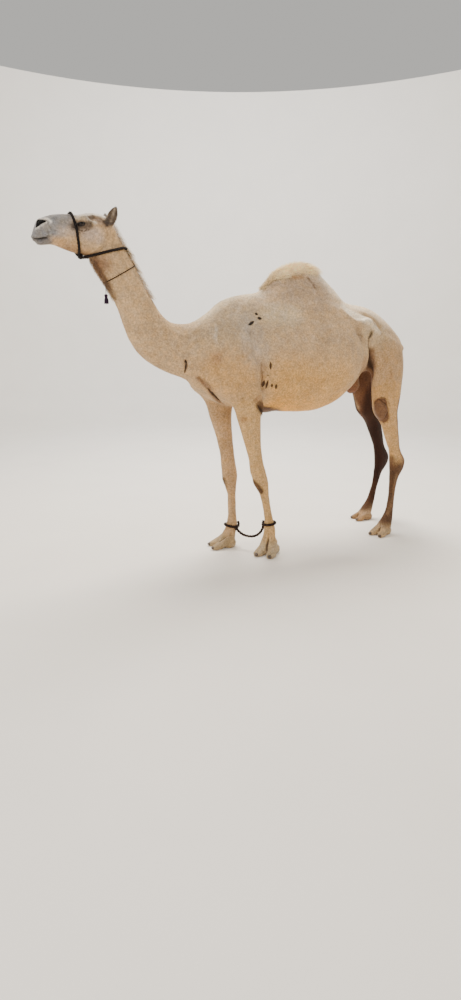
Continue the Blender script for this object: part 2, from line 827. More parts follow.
BARREL_FORM = tuple(
    Stroke(((ahead, 0.262, 1.56), (ahead - 0.055, 0.275, 1.42), (ahead - 0.085, 0.255, 1.29)), 0.023, 0.0026)
    for ahead in (-0.17, -0.255, -0.34, -0.425, -0.51, -0.595, -0.68)
) + (
    Stroke(
        ((-0.6, 0.225, 1.165), (-0.735, 0.231, 1.222), (-0.845, 0.201, 1.28), (-0.903, 0.213, 1.369)),
        0.048, -0.006,
    ),
    Stroke(
        ((-0.955, 0.229, 1.57), (-0.961, 0.22, 1.493), (-1.019, 0.158, 1.401), (-1.052, 0.126, 1.307)),
        0.038, -0.015,
    ),
    Stroke(((-0.9, 0.22, 1.6), (-0.88, 0.24, 1.52)), 0.07, -0.008),
    Stroke(FLANK_SCAR, 0.02, -0.003),
    Stroke(HIP_RIDGE, 0.036, 0.0085),
    Stroke(((-0.895, 0.215, 1.7), (-0.925, 0.22, 1.695)), 0.038, 0.007),
    Stroke(((-0.904, 0.164, 1.765), (-0.978, 0.18, 1.744), (-1.058, 0.195, 1.665)), 0.04, -0.008),
    Stroke(((-0.8, 0.238, 1.65), (-0.84, 0.25, 1.589)), 0.05, -0.006),
    Stroke(((-1.13, 0.2, 1.64), (-1.23, 0.19, 1.58)), 0.055, -0.006),
    Stroke(((-1.3, 0.15, 1.53), (-1.345, 0.145, 1.51)), 0.036, 0.008),
    Stroke(((-1.19, 0.245, 1.42), (-1.24, 0.24, 1.25), (-1.22, 0.235, 1.12)), 0.032, -0.005),
    Stroke(((-0.28, 0.17, 1.85), (-0.48, 0.17, 1.86), (-0.64, 0.16, 1.84)), 0.06, -0.004),
)
STIFLE_RIM = (
    (-1.058, 0.168, 1.114),
    (-1.074, 0.218, 1.129),
    (-1.134, 0.242, 1.086),
    (-1.163, 0.242, 1.037),
    (-1.147, 0.223, 0.976),
    (-1.149, 0.173, 0.934),
)


def leg_form() -> tuple[Stroke, ...]:
    """Tendons, knees, hocks and fetlocks, for each leg at its own place.

    Returns:
        The strokes.
    """
    made = [
        Stroke(STIFLE_RIM, 0.014, -0.005, L),
        Stroke(((-1.088, 0.2, 1.06), (-1.11, 0.2, 1.0)), 0.042, 0.005, L),
    ]
    for side, sign, knee in ((L, 1, (-0.002, 0.163, 0.529)), (R, -1, (0.093, -0.153, 0.497))):
        ahead, left, up = knee
        out = 0.048 * sign
        made += [
            Stroke(((ahead + 0.01, left, up + 0.045), (ahead + 0.01, left, up - 0.04)), 0.042, 0.005, side),
        ]
        for over, high, low in ((out, 0.02, 0.03), (-out, 0.012, 0.02)):
            above = ((ahead - high, left + over, up + 0.1), (ahead - low, left + over, up + 0.03))
            made.append(Stroke(above, 0.02, -0.004, side))
        for over in (out, -out):
            top = (ahead - 0.045, left + over * 0.7, up - 0.07)
            foot = (ahead - 0.065, left + over * 0.6, up - 0.25)
            made.append(Stroke((top, foot), 0.012, -0.0045, side))
    return tuple(made)


FACE_STROKES = (*NOSE, *MOUTH, *BROW, *CHEEK)
BODY_STROKES = (*NECK_FORM, *SHOULDER_FORM, *BARREL_FORM)
BODY_DEPTH = 1.7     # how much more strongly the body's strokes are pressed in than they are written


# ---------------------------------------------------------------- the hide
FINE_PLACES = (((1.142, 0.08, 2.192), 0.036), ((1.372, 0.035, 2.175), 0.034))    # eye, nostril; reach


@dataclass
class Lids:
    """The eyelids, laid on a ball a little wider than the eye."""

    centre: Point = (1.142, 0.071, 2.195)
    radius: float = 0.022
    ahead: Point = (0.944, -0.278, -0.167)    # from the rear corner to the front one
    out: Point = (0.25, 0.96, -0.05)
    half_wide: float = 1.02                   # half the slit, in radians round the eye
    open_up: float = 0.3
    open_down: float = 0.44
    thick: float = 0.0024
    reach: float = 0.06                       # farther off, the hide stays as it is

    def axes(self) -> tuple[Rows, Rows, Rows]:
        """The slit's direction, the way up and the way out, each one long.

        Returns:
            The three directions.
        """
        ahead = unit(np.array(self.ahead))
        out = np.array(self.out)
        out = unit(out - (out @ ahead) * ahead)
        up = np.cross(out, ahead)
        return ahead, up * math.copysign(1.0, up[2]), out

    def angles(self, points: Rows) -> tuple[Rows, Rows, Rows]:
        """Where points are round the left eye.

        Args:
            points: rows of (ahead, left, up) with the right half turned onto the left.

        Returns:
            The angle ahead, the angle up, and the distance from the eye's middle.
        """
        ahead, up, out = self.axes()
        rays = points - np.array(self.centre)
        distance = np.linalg.norm(rays, axis=1)
        rays = unit(rays)
        return np.arctan2(rays @ ahead, rays @ out), np.arcsin(np.clip(rays @ up, -1, 1)), distance

    def gap(self, points: Rows) -> Rows:
        """How far points are from the left eye's middle."""
        return np.linalg.norm(points - np.array(self.centre), axis=1)

    def edge(self, points: Rows) -> Rows:
        """How far inside the slit points are, in radians; below 0 outside it.

        Args:
            points: rows of (ahead, left, up), the right half turned onto the left.

        Returns:
            The angles.
        """
        across, up, _ = self.angles(points)
        share = np.clip(1.0 - (across / self.half_wide) ** 2, 0.0, 1.0)
        inside = np.minimum(self.open_up * share**0.75 - up, up + self.open_down * share**0.65)
        beyond = self.half_wide - np.abs(across)
        return np.where(beyond < 0.0, np.minimum(inside, beyond), inside)

    def shape(self, points: Rows) -> Rows:
        """Points of the hide near an eye, laid over it as lids.

        Args:
            points: rows of (ahead, left, up) with the right half turned onto the left.

        Returns:
            The points, moved.
        """
        across, up, distance = self.angles(points)
        edge = self.edge(points)
        centre = np.array(self.centre)
        rays = unit(points - centre)
        skin = self.radius + self.thick + 0.0016 * ramp(-edge, 0.0, 0.5)
        skin += 0.001 * np.exp(-((edge + 0.09) / 0.06) ** 2)
        skin -= 0.0018 * np.exp(-((up - self.open_up - 0.3) / 0.07) ** 2) * ramp(np.cos(across), 0.2, 0.7)
        for gap, deep in ((0.34, 0.0014), (0.62, 0.0018), (0.95, 0.0014)):
            fold = np.exp(-((up + self.open_down + gap) / 0.075) ** 2)
            skin -= deep * fold * ramp(np.cos(across), 0.1, 0.6)
        wanted = skin + (self.radius - 0.005 - skin) * ramp(edge, -0.015, 0.055)
        near = 1.0 - ramp(-edge, 0.45, 1.15)
        near *= 1.0 - ramp(distance, self.radius + 0.012, self.radius + 0.024)
        near *= ramp(np.cos(across), -0.35, 0.05)
        near = np.maximum(near, ramp(edge, -0.02, 0.05) * (distance < self.radius + 0.03))
        return points + (near * (wanted - distance))[:, None] * rays


@dataclass
class Hide:
    """The whole skin as one closed piece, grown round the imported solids."""

    body_voxel: float = 0.0095
    head_voxel: float = 0.0027
    foot_voxel: float = 0.0042
    neck_point: Point = (0.895, 0.0, 1.897)   # where the finer head is grafted on
    neck_way: Point = (0.487, 0.0, 0.873)
    fetlock: float = 0.125                    # height of the grafts of the feet
    graft: float = 0.009                      # width of each graft
    spare: float = 0.03                       # how much is kept behind it before it is cut
    coat: float = 0.003                       # how deep the hide lies inside the solids
    most_faces: int = 146000
    rounds: int = 90
    mark_reaches: tuple[float, ...] = (0.022, 0.016, 0.013)   # round marks, drawn finer step by step
    finest_edge: float = 0.0042                               # shorter edges aren't halved again
    lids: Lids = field(default_factory=Lids)

    FLESH = (
        "head", "neck", "trunk", "hump", "tail", "tail_tuft",
        "ear_left", "ear_right", "thigh_left", "thigh_right",
        "fore_left_forearm", "fore_left_cannon", "fore_left_foot",
        "fore_right_forearm", "fore_right_cannon", "fore_right_foot",
        "hind_left_shank", "hind_left_cannon", "hind_left_foot",
        "hind_right_shank", "hind_right_cannon", "hind_right_foot",
    )
    HEAD = ("head", "ear_left", "ear_right", "neck", "eye_left", "eye_right")

    def fused(self, nodes: dict, names: tuple[str, ...], voxel: float, keep: tuple | None = None) -> Form:
        """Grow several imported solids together.

        Args:
            nodes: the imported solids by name.
            names: which of them.
            voxel: the grain of the new surface.
            keep: a point and a direction; what lies behind them is cut off first.

        Returns:
            The new surface.
        """
        form = bmesh.new()
        for name in names:
            form.from_mesh(nodes[name].data)
        bmesh.ops.remove_doubles(form, verts=form.verts, dist=SEAM)
        if keep:
            edges = self.cut(form, *keep)
            bmesh.ops.holes_fill(form, edges=edges)
        mesh = bpy.data.meshes.new("fused")
        form.to_mesh(mesh)
        form.clear()
        thing = new_piece("fused", mesh)
        finish_with(thing, "REMESH", mode="VOXEL", voxel_size=voxel)
        form.from_mesh(thing.data)
        bpy.data.objects.remove(thing)
        return form

    def cut(self, form: Form, point: Vector, way: Vector) -> list:
        """Cut off what lies behind a point, and return the new edges.

        Args:
            form: the surface.
            point: a point of the cut.
            way: where the cut faces. What lies behind it goes.

        Returns:
            The edges of the cut.
        """
        geometry = [*form.verts, *form.edges, *form.faces]
        found = bmesh.ops.bisect_plane(
            form, geom=geometry, dist=0.00001, plane_co=point, plane_no=way, clear_inner=True
        )
        return [part for part in found["geom_cut"] if isinstance(part, bmesh.types.BMEdge)]

    def joined(self, nodes: dict) -> Mesh:
        """The body, the head and the feet, each at its own grain, as one closed surface.

        Args:
            nodes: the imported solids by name.

        Returns:
            The surface's mesh.
        """
        point = at(self.neck_point)
        way = Vector(TO_BODY * np.array(self.neck_way)).normalized()
        down = Vector((0.0, 0.0, -1.0))
        ankle = Vector((0.0, 0.0, self.fetlock))
        half = self.graft / 2
        whole = self.fused(nodes, self.FLESH, self.body_voxel)
        self.cut(whole, point - way * half, -way)
        self.cut(whole, ankle - down * half, -down)
        head = self.fused(nodes, self.HEAD, self.head_voxel, (point - way * self.spare, way))
        self.cut(head, point + way * half, way)
        names = tuple(name for name in self.FLESH if name.endswith(("foot", "cannon")))
        feet = self.fused(nodes, names, self.foot_voxel, (ankle - down * self.spare, down))
        self.cut(feet, ankle + down * half, down)
        for part in (head, feet):
            mesh = bpy.data.meshes.new("part")
            part.to_mesh(mesh)
            part.free()
            whole.from_mesh(mesh)
            bpy.data.meshes.remove(mesh)
        self.bridge(whole)
        bmesh.ops.recalc_face_normals(whole, faces=whole.faces)
        mesh = bpy.data.meshes.new("hide")
        whole.to_mesh(mesh)
        whole.free()
        return mesh

    def bridge(self, form: Form) -> None:
        """Join the open rims, each to the nearest other one.

        Args:
            form: the surface.
        """
        rims = []
        left = {edge for edge in form.edges if edge.is_boundary}
        while left:
            rim = [left.pop()]
            for edge in rim:
                for vertex in edge.verts:
                    near = [other for other in vertex.link_edges if other in left]
                    rim += near
                    left.difference_update(near)
            if len(rim) > 8:
                rims.append(rim)
        middles = [np.mean([edge.verts[0].co for edge in rim], axis=0) for rim in rims]
        while rims:
            rim, middle = rims.pop(), middles.pop()
            gaps = [float(np.linalg.norm(middle - other)) for other in middles]
            nearest = int(np.argmin(gaps))
            bmesh.ops.bridge_loops(form, edges=[*rim, *rims.pop(nearest)])
            middles.pop(nearest)

    def neighbours(self, mesh: Mesh) -> tuple[Rows, Rows]:
        """The mesh's edges as two columns of points, each edge both ways round."""
        pairs = read(mesh.edges, "vertices", 2, int)
        return np.concatenate((pairs[:, 0], pairs[:, 1])), np.concatenate((pairs[:, 1], pairs[:, 0]))

    def eased(self, links: tuple, values: Rows, weights: Rows, rounds: int) -> Rows:
        """Values at the points, each drawn towards the mean of its neighbours.

        Args:
            links: the edges, as two columns of points.
            values: a row for each point.
            weights: how strongly each is drawn.
            rounds: how often.

        Returns:
            The eased rows.
        """
        start, end = links
        count = len(values)
        share = (weights / np.maximum(np.bincount(start, minlength=count), 1))[:, None]
        out = values.copy()
        for _ in range(rounds):
            total = np.stack([np.bincount(start, out[end, axis], count) for axis in range(3)], axis=1)
            out += share * total - weights[:, None] * out
        return out

    def past_neck(self, points: Rows) -> Rows:
        """How far points are past the place where the finer head is grafted on."""
        return (points - np.array(self.neck_point)) @ np.array(self.neck_way)

    def on_tail(self, points: Rows) -> Rows:
        """1 at points of the tail, 0 elsewhere."""
        return ramp(-points[:, 0], 1.372, 1.385) * (np.abs(points[:, 1]) < 0.05)

    def softness(self, points: Rows) -> Rows:
        """How strongly each region is eased: the trunk most, the ears and toes least.

        Args:
            points: rows of (ahead, left, up).

        Returns:
            A weight for each point.
        """
        ahead, left, up = points.T
        leg = 1.0 - ramp(up, 0.95, 1.15)
        soft = 0.5 - 0.36 * leg
        tail = self.on_tail(points)
        soft = soft * (1 - tail) + 0.05 * tail
        sheath = ramp(ahead, -1.08, -1.05) * (1.0 - ramp(ahead, -0.9, -0.86)) * (1.0 - ramp(up, 1.24, 1.3))
        sheath *= (up > 1.05) * (1.0 - ramp(np.abs(left), 0.07, 0.09))
        soft = soft * (1 - sheath) + 0.12 * sheath
        head = ramp(self.past_neck(points), -0.01, 0.01)
        soft = soft * (1 - head) + 0.26 * head
        ear = head * ramp(up, 2.215, 2.235) * (1 - ramp(ahead, 1.0, 1.02)) * ramp(np.abs(left), 0.045, 0.06)
        soft = soft * (1 - ear) + 0.03 * ear
        foot = 1.0 - ramp(up, 0.1, 0.15)
        return soft * (1 - foot) + 0.035 * foot

    def depth(self, points: Rows) -> Rows:
        """How far the hide lies inside the solids: by the length of the coat there.

        Args:
            points: rows of (ahead, left, up).

        Returns:
            A depth for each point.
        """
        ahead, left, up = points.T
        deep = np.full(len(points), self.coat)
        head = ramp(self.past_neck(points), 0.02, 0.12)
        deep -= 0.0015 * head
        deep -= 0.0018 * (1.0 - ramp(up, 0.1, 0.2))
        hump = np.linalg.norm((points - np.array((-0.33, 0.03, 2.09))) / np.array((0.2, 0.13, 0.1)), axis=1)
        deep += 0.013 * (1.0 - ramp(hump, 0.0, 1.15))
        tail = self.on_tail(points)
        deep += tail * (0.002 + 0.013 * (1.0 - ramp(up, 1.1, 1.24)))
        nape = ramp(ahead, 0.7, 0.8) * (1.0 - ramp(ahead, 0.94, 0.98)) * (np.abs(left) < 0.04)
        return deep + 0.003 * nape * ramp(up, 1.9, 2.0)

    def refined(self, mesh: Mesh) -> None:
        """Halve the edges where the face has its finest shapes: eyes, nostrils, lips and ears' rims.

        Args:
            mesh: the hide.
        """
        lips = tuple(tuple(at((ahead, way * left, up))) for way in (1, -1) for ahead, left, up in MOUTH_LINE)
        with edited(mesh) as form:
            points = np.array([vertex.co for vertex in form.verts])
            fine = np.zeros(len(points), dtype=bool)
            for (ahead, left, up), reach in FINE_PLACES:
                for way in (1, -1):
                    middle = np.array(at((ahead, way * left, up)))
                    fine |= np.linalg.norm(points - middle, axis=1) < reach
            near = np.flatnonzero(points[:, 0] < at((1.26, 0, 0)).x)
            fine[near[path_distance(points[near], lips)[0] < 0.012]] = True
            edges = [edge for edge in form.edges if all(fine[vertex.index] for vertex in edge.verts)]
            bmesh.ops.subdivide_edges(form, edges=edges, cuts=1, use_grid_fill=True)

    def pressed(self, points: Rows, normals: Rows, strokes: tuple[Stroke, ...]) -> Rows:
        """Points of the hide, moved along their normals by every stroke near them.

        Args:
            points: rows of (ahead, left, up).
            normals: the ways out of the hide there.
            strokes: what raises or presses it.

        Returns:
            The moved points.
        """
        moves = np.zeros(len(points))
        for stroke in strokes:
            seen, counts = folded(points, stroke.side)
            near = within(seen, counts, stroke.path, stroke.radius)
            if not len(near):
                continue
            gap = path_distance(seen[near], stroke.path)[0] / stroke.radius
            moves[near] += stroke.height * np.clip(1.0 - gap * gap, 0.0, 1.0) ** 2
        return points + moves[:, None] * normals

    def muscle_tone(self, points: Rows) -> Rows:
        """A slight unevenness of the flesh, least on the head, the feet and the ears.

        Args:
            points: rows of (ahead, left, up).

        Returns:
            How far each point stands out.
        """
        calm = 1.0 - 0.75 * ramp(points[:, 0], 0.85, 0.95) - 0.5 * (1.0 - ramp(points[:, 2], 0.2, 0.5))
        broad = np.array([noise.noise(Vector(point * (11.0, 9.0, 9.0))) for point in points])
        fine = np.array([noise.noise(Vector(point * 27.0 + 5.0)) for point in points])
        return calm * (0.0022 * broad + 0.0009 * fine)

    def lidded(self, points: Rows) -> Rows:
        """Points of the hide, with the lids drawn round both eyes.

        Args:
            points: rows of (ahead, left, up).

        Returns:
            The moved points.
        """
        out = points.copy()
        mirrored = folded(points, Side.BOTH)[0]
        near = np.flatnonzero(self.lids.gap(mirrored) < self.lids.reach)
        sign = np.where(points[near, 1] < 0.0, -1.0, 1.0)
        moved = self.lids.shape(mirrored[near])
        moved[:, 1] *= sign
        out[near] = moved
        return out

    def build(self, frame: dict) -> Thing:
        """Make the hide.

        Args:
            frame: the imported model.

        Returns:
            The hide, without its colours.
        """
        mesh = self.joined(frame["nodes"])
        links = self.neighbours(mesh)
        points = points_of(mesh)
        soft = self.softness(turned(points))
        eased = self.eased(links, points, soft, self.rounds)
        move_points(mesh, eased - self.eased(links, eased - points, soft, self.rounds))
        points = points_of(mesh)
        move_points(mesh, points - self.depth(turned(points))[:, None] * normals_of(mesh))
        self.refined(mesh)
        links = self.neighbours(mesh)
        normals = unit(self.eased(links, normals_of(mesh), np.full(len(mesh.vertices), 0.5), 3))
        body = turned(points_of(mesh))
        put_places(mesh, REST, body)
        ways = normals * TO_BODY
        body = self.pressed(body, ways * BODY_DEPTH, (*BODY_STROKES, *leg_form()))
        body = self.pressed(body, ways, FACE_STROKES)
        body += self.muscle_tone(body)[:, None] * ways
        body = self.lidded(body)
        body[:, 2] = np.maximum(body[:, 2], 0.0)
        move_points(mesh, turned(body))
        thing = new_piece("hide", mesh)
        faces = sum(len(face.vertices) - 2 for face in mesh.polygons)
        LOG.info("hide before thinning: %d triangles", faces)
        finish_with(thing, "DECIMATE", ratio=min(1.0, self.most_faces / faces), use_collapse_triangulate=True)
        self.engrave(thing.data)
        thing.data.shade_smooth()
        return thing

    def engrave(self, mesh: Mesh) -> None:
        """Draw the hide finer along each mark, and press the marks in.

        Args:
            mesh: the hide.
        """
        with edited(mesh) as form:
            for reach in self.mark_reaches:
                layer = form.verts.layers.float_vector[REST]
                body = np.array([vertex[layer] for vertex in form.verts])
                fine = np.zeros(len(body), dtype=bool)
                for mark in MARKS:
                    seen, counts = folded(body, mark.side)
                    near = within(seen, counts, mark.path, reach)
                    fine[near[path_distance(seen[near], mark.path)[0] < reach]] = True
                edges = [
                    edge
                    for edge in form.edges
                    if any(fine[vertex.index] for vertex in edge.verts)
                    and edge.calc_length() > self.finest_edge
                ]
                bmesh.ops.subdivide_edges(form, edges=edges, cuts=1, use_grid_fill=True, smooth=0.2)
                bmesh.ops.triangulate(form, faces=[face for face in form.faces if len(face.verts) > 3])
                form.verts.index_update()
        ways = ways_out(mesh)
        rest = places_of(mesh, REST)
        moves = self.pressed(rest, ways, tuple(mark.stroke() for mark in MARKS)) - rest
        move_points(mesh, turned(turned(points_of(mesh)) + moves))


# ---------------------------------------------------------------- the colours of the coat
@dataclass(frozen=True)
class Patch:
    """A soft-edged spot or band of one colour on the coat."""

    path: tuple[Point, ...]
    reach: float          # full colour up to the edge's start, none past the reach
    colour: str
    share: float = 1.0
    side: Side = Side.BOTH
    edge: float = 0.35    # where the fading starts, as a share of the reach
    flat: Point = EVEN    # how much shorter it reaches along each direction
    tapered: bool = False     # thinner towards both ends


COAT_BASE = "#bfa17c"
FIELDS = (
    Patch(((0.9, 0.0, 2.0), (0.55, 0.0, 1.6)), 0.42, "#bf9f76", 0.9, B, 0.08),
    Patch(((0.3, 0.15, 1.7), (0.05, 0.15, 1.75)), 0.34, "#b39d7d", 0.8, B, 0.08),
    Patch(((0.3, 0.2, 1.35), (0.15, 0.22, 1.3)), 0.26, "#c0965f", 0.85, B, 0.08),
    Patch(((-0.2, 0.2, 1.3), (-0.6, 0.2, 1.3)), 0.28, "#c89a5a", 0.9, B, 0.08),
    Patch(((-0.2, 0.05, 1.12), (-0.62, 0.05, 1.16)), 0.24, "#e6a645", 0.95, B, 0.08),
    Patch(((-0.34, 0.13, 1.87), (-0.5, 0.15, 1.87)), 0.19, "#b0977a", 0.85, B, 0.08),
    Patch(((-0.12, 0.17, 1.75), (-0.24, 0.18, 1.73)), 0.14, "#cdb895", 0.75, B, 0.1),
    Patch(((-0.05, 0.0, 1.93), (-0.75, 0.0, 1.93)), 0.24, "#c0a688", 0.8, B, 0.08),
    Patch(((-0.5, 0.0, 2.02), (-0.62, 0.0, 1.93)), 0.16, "#f6ead4", 0.95, B, 0.12),
    Patch(((-0.72, 0.0, 1.86), (-1.1, 0.0, 1.74)), 0.26, "#e8d6b8", 0.95, B, 0.08),
    Patch(((0.36, 0.0, 1.74), (0.12, 0.0, 1.88), (-0.05, 0.0, 1.89)), 0.14, "#d3bf9d", 0.85, B, 0.08),
    Patch(((-0.95, 0.2, 1.64), (-1.1, 0.2, 1.56)), 0.17, "#b39f80", 0.8, B, 0.08),
    Patch(((-1.15, 0.18, 1.45), (-1.2, 0.18, 1.25)), 0.24, "#ae8b61", 0.9, B, 0.08),
    Patch(((-0.9, 0.2, 1.5),), 0.2, "#bb9e78", 0.7, B, 0.08),
    Patch(((0.1, 0.17, 1.68), (0.04, 0.2, 1.46)), 0.15, "#aea294", 0.5, B, 0.0),
)
LEG_COLOURS = (
    Patch(((0.08, 0.16, 1.05), (0.06, 0.16, 0.62), (-0.06, 0.16, 0.2)), 0.22, "#bd9865", 0.9, L, 0.6),
    Patch(((0.12, -0.16, 1.05), (0.11, -0.16, 0.62), (0.06, -0.15, 0.2)), 0.22, "#b29068", 0.9, R, 0.6),
    Patch(((-1.15, 0.2, 1.1), (-1.22, 0.17, 0.75), (-1.3, 0.19, 0.55)), 0.22, "#bd945f", 0.9, L, 0.6),
    Patch(((-1.33, 0.2, 0.46), (-1.29, 0.21, 0.16)), 0.19, "#4e3321", 0.95, L, 0.6),
    Patch(((-1.315, 0.232, 0.5), (-1.29, 0.24, 0.32), (-1.24, 0.235, 0.18)), 0.028, "#8f7050", 0.45, L, 0.1),
    Patch(((-1.262, 0.205, 0.64), (-1.268, 0.195, 0.58)), 0.04, "#5f4029", 0.8, L, 0.3),
    Patch(
        (
            (-1.3, 0.21, 1.1), (-1.31, 0.2, 0.95), (-1.345, 0.19, 0.82), (-1.39, 0.19, 0.62),
            (-1.39, 0.19, 0.48),
        ),
        0.066, "#60412b", 0.9, L, 0.3,
    ),
    Patch(((-1.3, -0.18, 0.84), (-1.44, -0.18, 0.56), (-1.47, -0.2, 0.34)), 0.34, "#2a1003", 1.0, R, 0.42),
    Patch(((-1.42, -0.21, 0.3), (-1.38, -0.21, 0.14)), 0.11, "#40240f", 0.9, R, 0.4),
    Patch(((-1.1, -0.1, 1.36), (-1.14, -0.1, 1.2), (-1.22, -0.13, 1.02)), 0.2, "#6a462f", 0.95, R, 0.5),
    Patch(((-1.13, -0.2, 1.12), (-1.19, -0.17, 1.03)), 0.05, "#a08464", 0.8, R, 0.2),
    Patch(((-1.27, -0.08, 1.16), (-1.28, -0.1, 1.0), (-1.32, -0.12, 0.9)), 0.1, "#341c10", 0.9, R, 0.4),
    Patch(((-1.05, 0.02, 1.3), (-1.16, 0.02, 1.26)), 0.16, "#694630", 0.95, B, 0.4),
    Patch(((-0.9, 0.05, 1.25), (-1.02, 0.06, 1.26)), 0.13, "#8f6d4c", 0.8, B, 0.3),
    Patch(((-0.95, 0.0, 1.25), (-0.975, 0.0, 1.13)), 0.085, "#7b5440", 0.95, B, 0.5),
)
PAD = ((-1.09, 0.224, 1.085), (-1.1, 0.222, 1.04), (-1.13, 0.205, 0.985))
MARKINGS = (
    Patch(
        ((0.308, 0.127, 1.668), (0.32, 0.15, 1.61), (0.332, 0.166, 1.552)),
        0.02, "#e6dbc9", 0.4, L, 0.0, tapered=True,
    ),
    Patch(((0.33, 0.178, 1.45),), 0.06, "#9a7050", 0.5, L, 0.1),
    Patch(((0.026, 0.232, 1.135), (-0.01, 0.205, 1.105)), 0.044, "#2c1a0f", 1.0, B, 0.5),
    Patch(
        ((-0.02, 0.185, 1.095), (-0.105, 0.078, 1.086), (-0.15, 0.08, 1.085)),
        0.03, "#2e1c13", 0.95, B, 0.4,
    ),
    Patch(((0.03, 0.235, 1.165), (-0.04, 0.19, 1.13)), 0.055, "#8f6b49", 0.6, B, 0.2),
    Patch(PAD, 0.064, "#4a2d1b", 1.0, L, 0.72),
    Patch(PAD, 0.09, "#8d6746", 0.5, L, 0.3),
    Patch(
        tuple((ahead - 0.065, -left, up - 0.015) for ahead, left, up in PAD),
        0.064, "#3f2617", 1.0, R, 0.72,
    ),
    Patch(((-0.1, 0.0, 1.09), (-0.19, 0.0, 1.095)), 0.12, "#5a3e2b", 0.95, B, 0.6),
    Patch(
        ((0.02, 0.155, 0.575), (0.003, 0.172, 0.541), (-0.022, 0.176, 0.503)),
        0.034, "#432a18", 0.97, L, 0.45,
    ),
    Patch(((0.012, 0.15, 0.56), (-0.005, 0.16, 0.5)), 0.046, "#7c5b3c", 0.6, L, 0.2),
    Patch(((0.124, -0.15, 0.535), (0.114, -0.15, 0.47)), 0.046, "#3a2512", 0.95, R, 0.4),
    Patch(((0.15, 0.2, 1.036), (0.133, 0.214, 1.042)), 0.03, "#8a6544", 0.65, L, 0.2),
    Patch(((-1.154, 0.249, 1.309),), 0.034, "#8a6544", 0.6, L, 0.2),
    Patch(((-0.89, 0.23, 1.41), (-0.93, 0.19, 1.35), (-1.0, 0.14, 1.33)), 0.075, "#a17c55", 0.7, B, 0.3),
    Patch(((-0.985, 0.2, 1.48), (-1.035, 0.145, 1.36), (-1.055, 0.12, 1.3)), 0.06, "#6d4a31", 0.8, B, 0.2),
    Patch(
        (
            (-0.945, 0.236, 1.62), (-0.938, 0.236, 1.524), (-0.988, 0.19, 1.45), (-1.022, 0.15, 1.383),
            (-1.04, 0.13, 1.31),
        ),
        0.03, "#35200f", 0.9, B, 0.2,
    ),
    Patch(((-0.74, 0.15, 1.79), (-0.8, 0.18, 1.745), (-0.905, 0.205, 1.722)), 0.06, "#f1e3ca", 0.8, B, 0.4),
    Patch(HIP_RIDGE[4:], 0.03, "#dccbb0", 0.7, B, 0.3),
    Patch(
        ((-0.94, 0.17, 1.758), (-0.985, 0.182, 1.74), (-1.058, 0.195, 1.665)),
        0.045, "#a3865f", 0.75, B, 0.2,
    ),
    Patch(((-0.815, 0.238, 1.645), (-0.835, 0.25, 1.589)), 0.042, "#957a5b", 0.65, B, 0.2),
    Patch(CHEST_FOLD, 0.042, "#82624a", 0.55, B, 0.1),
    Patch(((-0.006, 0.214, 1.38), (-0.018, 0.199, 1.24)), 0.04, "#957350", 0.45, B, 0.2),
    Patch(ELBOW_FOLD, 0.018, "#8a6848", 0.55, B, 0.2),
    Patch(((-0.25, 0.02, 2.05), (-0.36, 0.0, 2.09), (-0.46, 0.03, 2.06)), 0.11, "#f0d9ad", 0.95, B, 0.3),
    Patch(((-0.15, 0.01, 1.955), (-0.232, 0.031, 2.012)), 0.022, "#7c6048", 0.8, B, 0.2),
    Patch(((-0.32, 0.095, 1.992), (-0.38, 0.104, 1.998)), 0.03, "#a67f57", 0.7, B, 0.1),
    Patch(((-0.43, 0.113, 1.991), (-0.466, 0.149, 1.926)), 0.018, "#715641", 0.85, B, 0.2),
    Patch(((0.9, 0.0, 2.08), (0.79, 0.0, 1.96)), 0.03, "#9d866b", 0.35, B, 0.2),
    Patch(((-1.385, 0.0, 1.56), (-1.405, 0.0, 1.3)), 0.05, "#a98a66", 0.8, B, 0.6),
    Patch(((-1.405, 0.0, 1.18), (-1.41, 0.0, 0.92)), 0.09, "#4c3526", 0.95, B, 0.7),
)
FEET_COLOURS = (
    Patch(((0.0, 0.16, 0.02), (-0.2, 0.16, 0.02)), 0.21, "#b09b7a", 0.95, L, 0.45, (1.0, 1.0, 1.6)),
    Patch(((0.17, -0.16, 0.02), (0.02, -0.16, 0.02)), 0.21, "#a08a68", 0.95, R, 0.45, (1.0, 1.0, 1.6)),
    Patch(((-1.12, 0.22, 0.02), (-1.26, 0.22, 0.02)), 0.2, "#a78d69", 0.95, L, 0.4, (1.0, 1.0, 1.9)),
    Patch(((-1.3, -0.21, 0.02), (-1.46, -0.21, 0.02)), 0.17, "#8a6a46", 0.9, R, 0.35, (1.0, 1.0, 2.3)),
)
